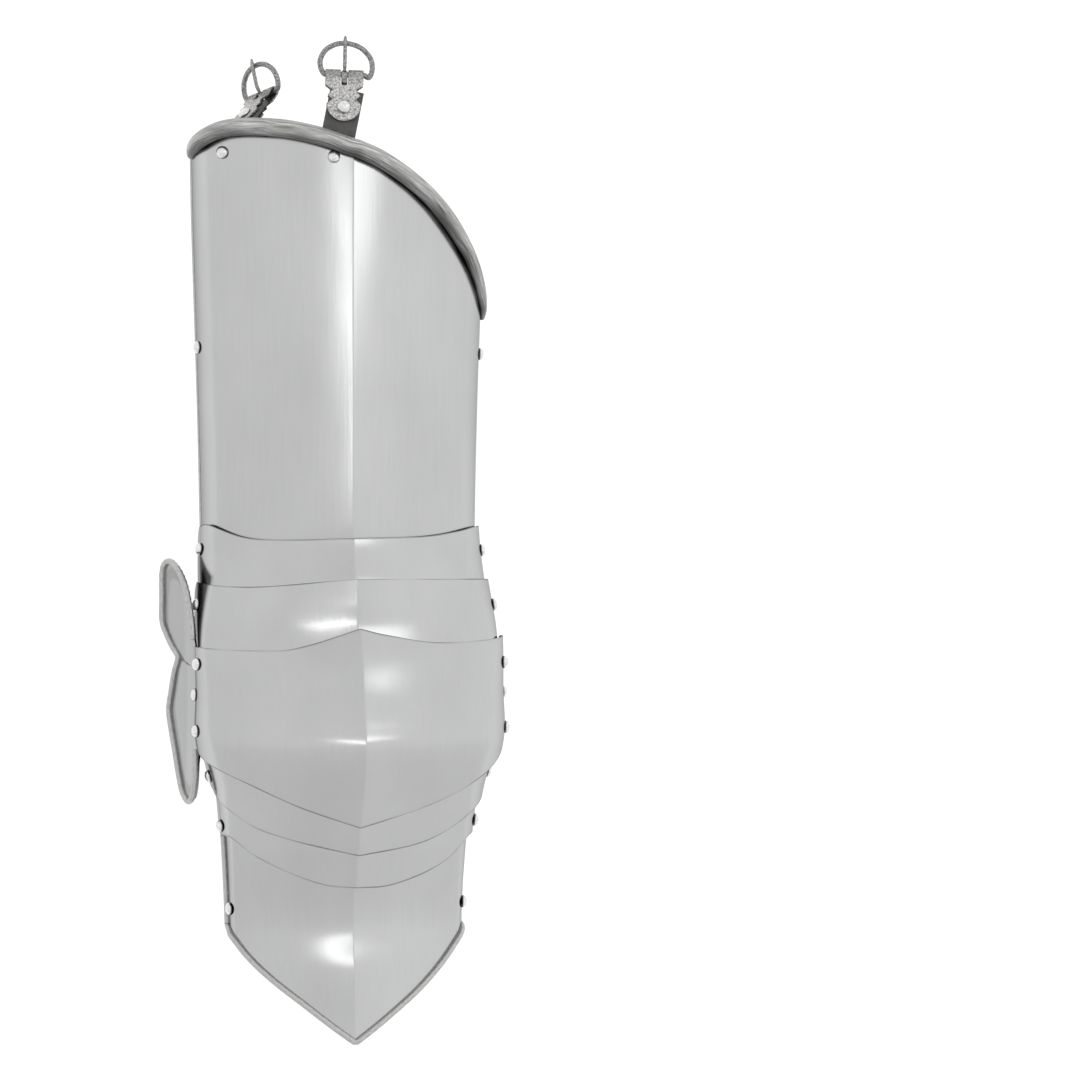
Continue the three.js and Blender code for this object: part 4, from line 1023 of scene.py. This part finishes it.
def hang_metal(row, far_side, far_up, bolt):
    """Chape, D-ring, prong and chape rivet at a hanger tab's far end."""
    name = row["name"]
    far_out = np.cross(far_side, far_up)
    bar_place = bolt + far_up * CHAPE["reach"]
    basis = np.stack([far_side, far_up, far_out], -1)
    points, faces, shade = chape_mesh()
    chape = put(f"{name}_hanger_chape_plate", "thigh", [f"{name}_hanger_chape"],
                points @ basis.T + bar_place, faces, SILVER, shade, bevel=0.3)
    merged(chape)

    flip = np.array(Matrix.Rotation(math.radians(row["flip"]), 3, "X"))
    ring_basis = basis @ flip
    slant = np.array(Matrix.Rotation(math.radians(row["slant"]), 3, "Z"))
    arc = [(0.92, 0.06), (1, 0.3), (0.88, 0.64), (0.5, 0.91), (0, 1)]
    right = [(x * RING["half"], y * RING["height"], 0) for x, y in arc]
    left = [(-x, y, 0) for x, y, _ in right[-2::-1]]
    bend = [tuple(slant @ np.array(q)) for q in right + left]
    rod = [(x, 0, 0) for x in (-12.6, -11, -6, 0, 6, 11, 12.6)]
    line = catmull(rod + bend, 150, closed=True)
    points, faces, uv = tube(line, RING["wire"], 14, closed=True)
    put(f"{name}_hanger_ring_wire", f"{name}_ring", [f"{name}_hanger_ring"],
        points @ ring_basis.T + bar_place, faces, SILVER, np.full(len(points), 0.55), uv)

    eye_in = RING["wire"] + PRONG["seat"]
    high = RING["wire"] + PRONG["radius"] + PRONG["seat"]
    turns, eye = np.linspace(0, 2 * math.pi, 40, endpoint=False), PRONG_EYE
    loop_line = [(0, eye["y"] * math.cos(t) - eye["low"], eye["z"] * math.sin(t)) for t in turns]
    loop = tube(loop_line, eye["wire"], 10, closed=True, hint=(1, 0, 0))
    wide = loop[0] * np.array([PRONG["half"] / eye["wire"], 1, 1])
    foot = 0.72 * eye_in + 0.5
    shaft = catmull([(0, foot, foot), (0, 6, high), (0, 14, high + 0.2),
                     (0, PRONG["reach"] - 3, high), (0, PRONG["reach"], high - 0.3)], 50)
    t = np.linspace(0, 1, 50)
    swell = 0.45 * np.sin(np.clip(t * 5, 0, 1) * math.pi / 2)
    radius = 0.75 + swell - 0.55 * np.clip((t - 0.8) * 5, 0, 1)
    bar = tube(shaft, radius, 12)
    points, faces, shade, uv = joined((wide, loop[1], 0.6, loop[2]), (bar[0], bar[1], 0.6, bar[2]))
    put(f"{name}_hanger_prong_wire", f"{name}_prong", [f"{name}_hanger_prong"],
        points @ ring_basis.T + bar_place, faces, SILVER, shade, uv)

    dome_rivet(f"{name}_chape_rivet", "thigh", rivet_frame(bolt, far_out), LEAF_OUT + 0.02,
               -LEAF_OUT - RIVET["seat"], CHAPE["rivet"])


def body_of(node):
    return frame["nodes"][node]["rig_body"]


build_thigh()
build_knee()
build_shin()
for lame in ("upper_lame_1", "upper_lame_2", "lower_lame_1", "lower_lame_2"):
    points, faces, shade = make_plate(lame)
    put(f"{lame}_sheet", lame, [lame], points, faces, STEEL, shade, bevel=0.25)
for side, word in ((-1, "outer"), (1, "inner")):
    for number, (outer, inner, y, z) in enumerate(PIVOTS, 1):
        node = f"pivot_rivet_{number}_{word}"
        set_rivet(node, outer, inner, side, y, z, 0, body_of(node))
    for name, plate, y, z, _, seat, _ in STRAPS:
        node = f"{name}_strap_rivet_{word}"
        set_rivet(node, plate, None, side, y, z, STRAP_THICK + seat, body_of(node))
for name, plate, y, z, width, seat, runs in STRAPS:
    build_strap(name, plate, y, z, width, seat, runs, body_of(f"{name}_strap"))
for row in HANGERS:
    build_hanger(row)

# Floor, light and camera: sizes in metres, angles in degrees
FLOOR_HALF, FLOOR_DROP, FLOOR_GLOW = 6, 0.0005, 0.95
SKY_STRENGTH = 1.3
SIDE_TONES = [(0.0, 0.84), (0.25, 0.86), (0.42, 0.82), (0.5, 0.80), (0.68, 0.90), (1.0, 0.92)]
LENGTH_TONES = [(0.0, 0.86), (0.3, 0.89), (0.5, 1.0)]
# Soft lights: name, angle across and along the leg, distance, width, length, watts
LIGHTS = [
    ("strip_above", -5.5, 8.5, 2.6, 0.12, 0.6, 1.0),
    ("box_upper_right", 23.5, 15.5, 2.2, 0.3, 0.5, 0.72),
]

floor_mesh = bpy.data.meshes.new("floor")
corners = [(x * FLOOR_HALF, y * FLOOR_HALF, 0) for x, y in ((-1, -1), (1, -1), (1, 1), (-1, 1))]
floor_mesh.from_pydata(corners, [], [(0, 1, 2, 3)])
floor = bpy.data.objects.new("floor", floor_mesh)
floor.location.z = -FLOOR_DROP
bpy.context.scene.collection.objects.link(floor)
paper = bpy.data.materials.new("white_paper")
paper.use_nodes = True
paper_shader = paper.node_tree.nodes["Principled BSDF"]
paper_shader.inputs["Base Color"].default_value = (0.2, 0.2, 0.2, 1)
paper_shader.inputs["Roughness"].default_value = 1
paper_shader.inputs["Emission Color"].default_value = (1, 1, 1, 1)
paper_shader.inputs["Emission Strength"].default_value = FLOOR_GLOW
floor.data.materials.append(paper)

world = bpy.data.worlds.new("studio")
world.use_nodes = True
sky = world.node_tree
direction = sky.nodes.new("ShaderNodeTexCoord")
parts = sky.nodes.new("ShaderNodeSeparateXYZ")
sky.links.new(direction.outputs["Generated"], parts.inputs["Vector"])


def sky_tone(axis, stops):
    """Grey of the sky by the direction's part along an axis."""
    half = sky.nodes.new("ShaderNodeMapRange")
    half.inputs["From Min"].default_value, half.inputs["From Max"].default_value = -1, 1
    sky.links.new(parts.outputs[axis], half.inputs["Value"])
    return ramp(sky, half.outputs["Result"], stops)


glow = mixed(sky, "MULTIPLY", 1.0, sky_tone("X", SIDE_TONES), sky_tone("Y", LENGTH_TONES))
sky.links.new(glow, sky.nodes["Background"].inputs["Color"])
sky.nodes["Background"].inputs["Strength"].default_value = SKY_STRENGTH
bpy.context.scene.world = world


def soft_light(name, across_deg, along_deg, distance, size, size_y, power):
    """Area light over the part, at angles from the upright across and along the leg."""
    slopes = [math.tan(math.radians(across_deg)), math.tan(math.radians(along_deg)), 1]
    place = tuple(unit(slopes) * distance)
    lamp = bpy.data.lights.new(name, "AREA")
    lamp.shape, lamp.size, lamp.size_y, lamp.energy = "RECTANGLE", size, size_y, power
    obj = bpy.data.objects.new(name, lamp)
    obj.location = place
    obj.rotation_mode = "QUATERNION"
    obj.rotation_quaternion = (-Vector(place)).to_track_quat("-Z", "Y")
    bpy.context.scene.collection.objects.link(obj)


for light in LIGHTS:
    soft_light(*light)

PHI, DISTANCE, LOOK_Y, FOCAL = math.radians(9.5), 1600.0, 64.0, 2451.0
CENTRE_X, CENTRE_Y, PICTURE = 337.5, 590.0, 1080.0
eye = np.array([-DISTANCE * math.sin(PHI), LOOK_Y, DISTANCE * math.cos(PHI)])
ahead = unit(np.array([0, LOOK_Y, 0]) - eye)
right, up = np.array([math.cos(PHI), 0, math.sin(PHI)]), np.array([0, 1.0, 0])
yaw = math.atan((PICTURE / 2 - CENTRE_X) / FOCAL)
pitch = math.atan((CENTRE_Y - PICTURE / 2) / FOCAL * math.cos(yaw))
level = ahead * math.cos(yaw) + right * math.sin(yaw)
right = right * math.cos(yaw) - ahead * math.sin(yaw)
ahead = level * math.cos(pitch) + up * math.sin(pitch)
up = up * math.cos(pitch) - level * math.sin(pitch)
camera_data = bpy.data.cameras.new("camera")
camera_data.lens = camera_data.sensor_width * FOCAL / PICTURE
camera = bpy.data.objects.new("camera", camera_data)
matrix = np.eye(4)
matrix[:3, 0], matrix[:3, 1], matrix[:3, 2], matrix[:3, 3] = right, up, -ahead, (eye + OFFSET) / 1000
camera.matrix_world = Matrix(matrix.tolist())
bpy.context.scene.collection.objects.link(camera)
bpy.context.scene.camera = camera
bpy.context.scene.view_settings.view_transform = "Standard"
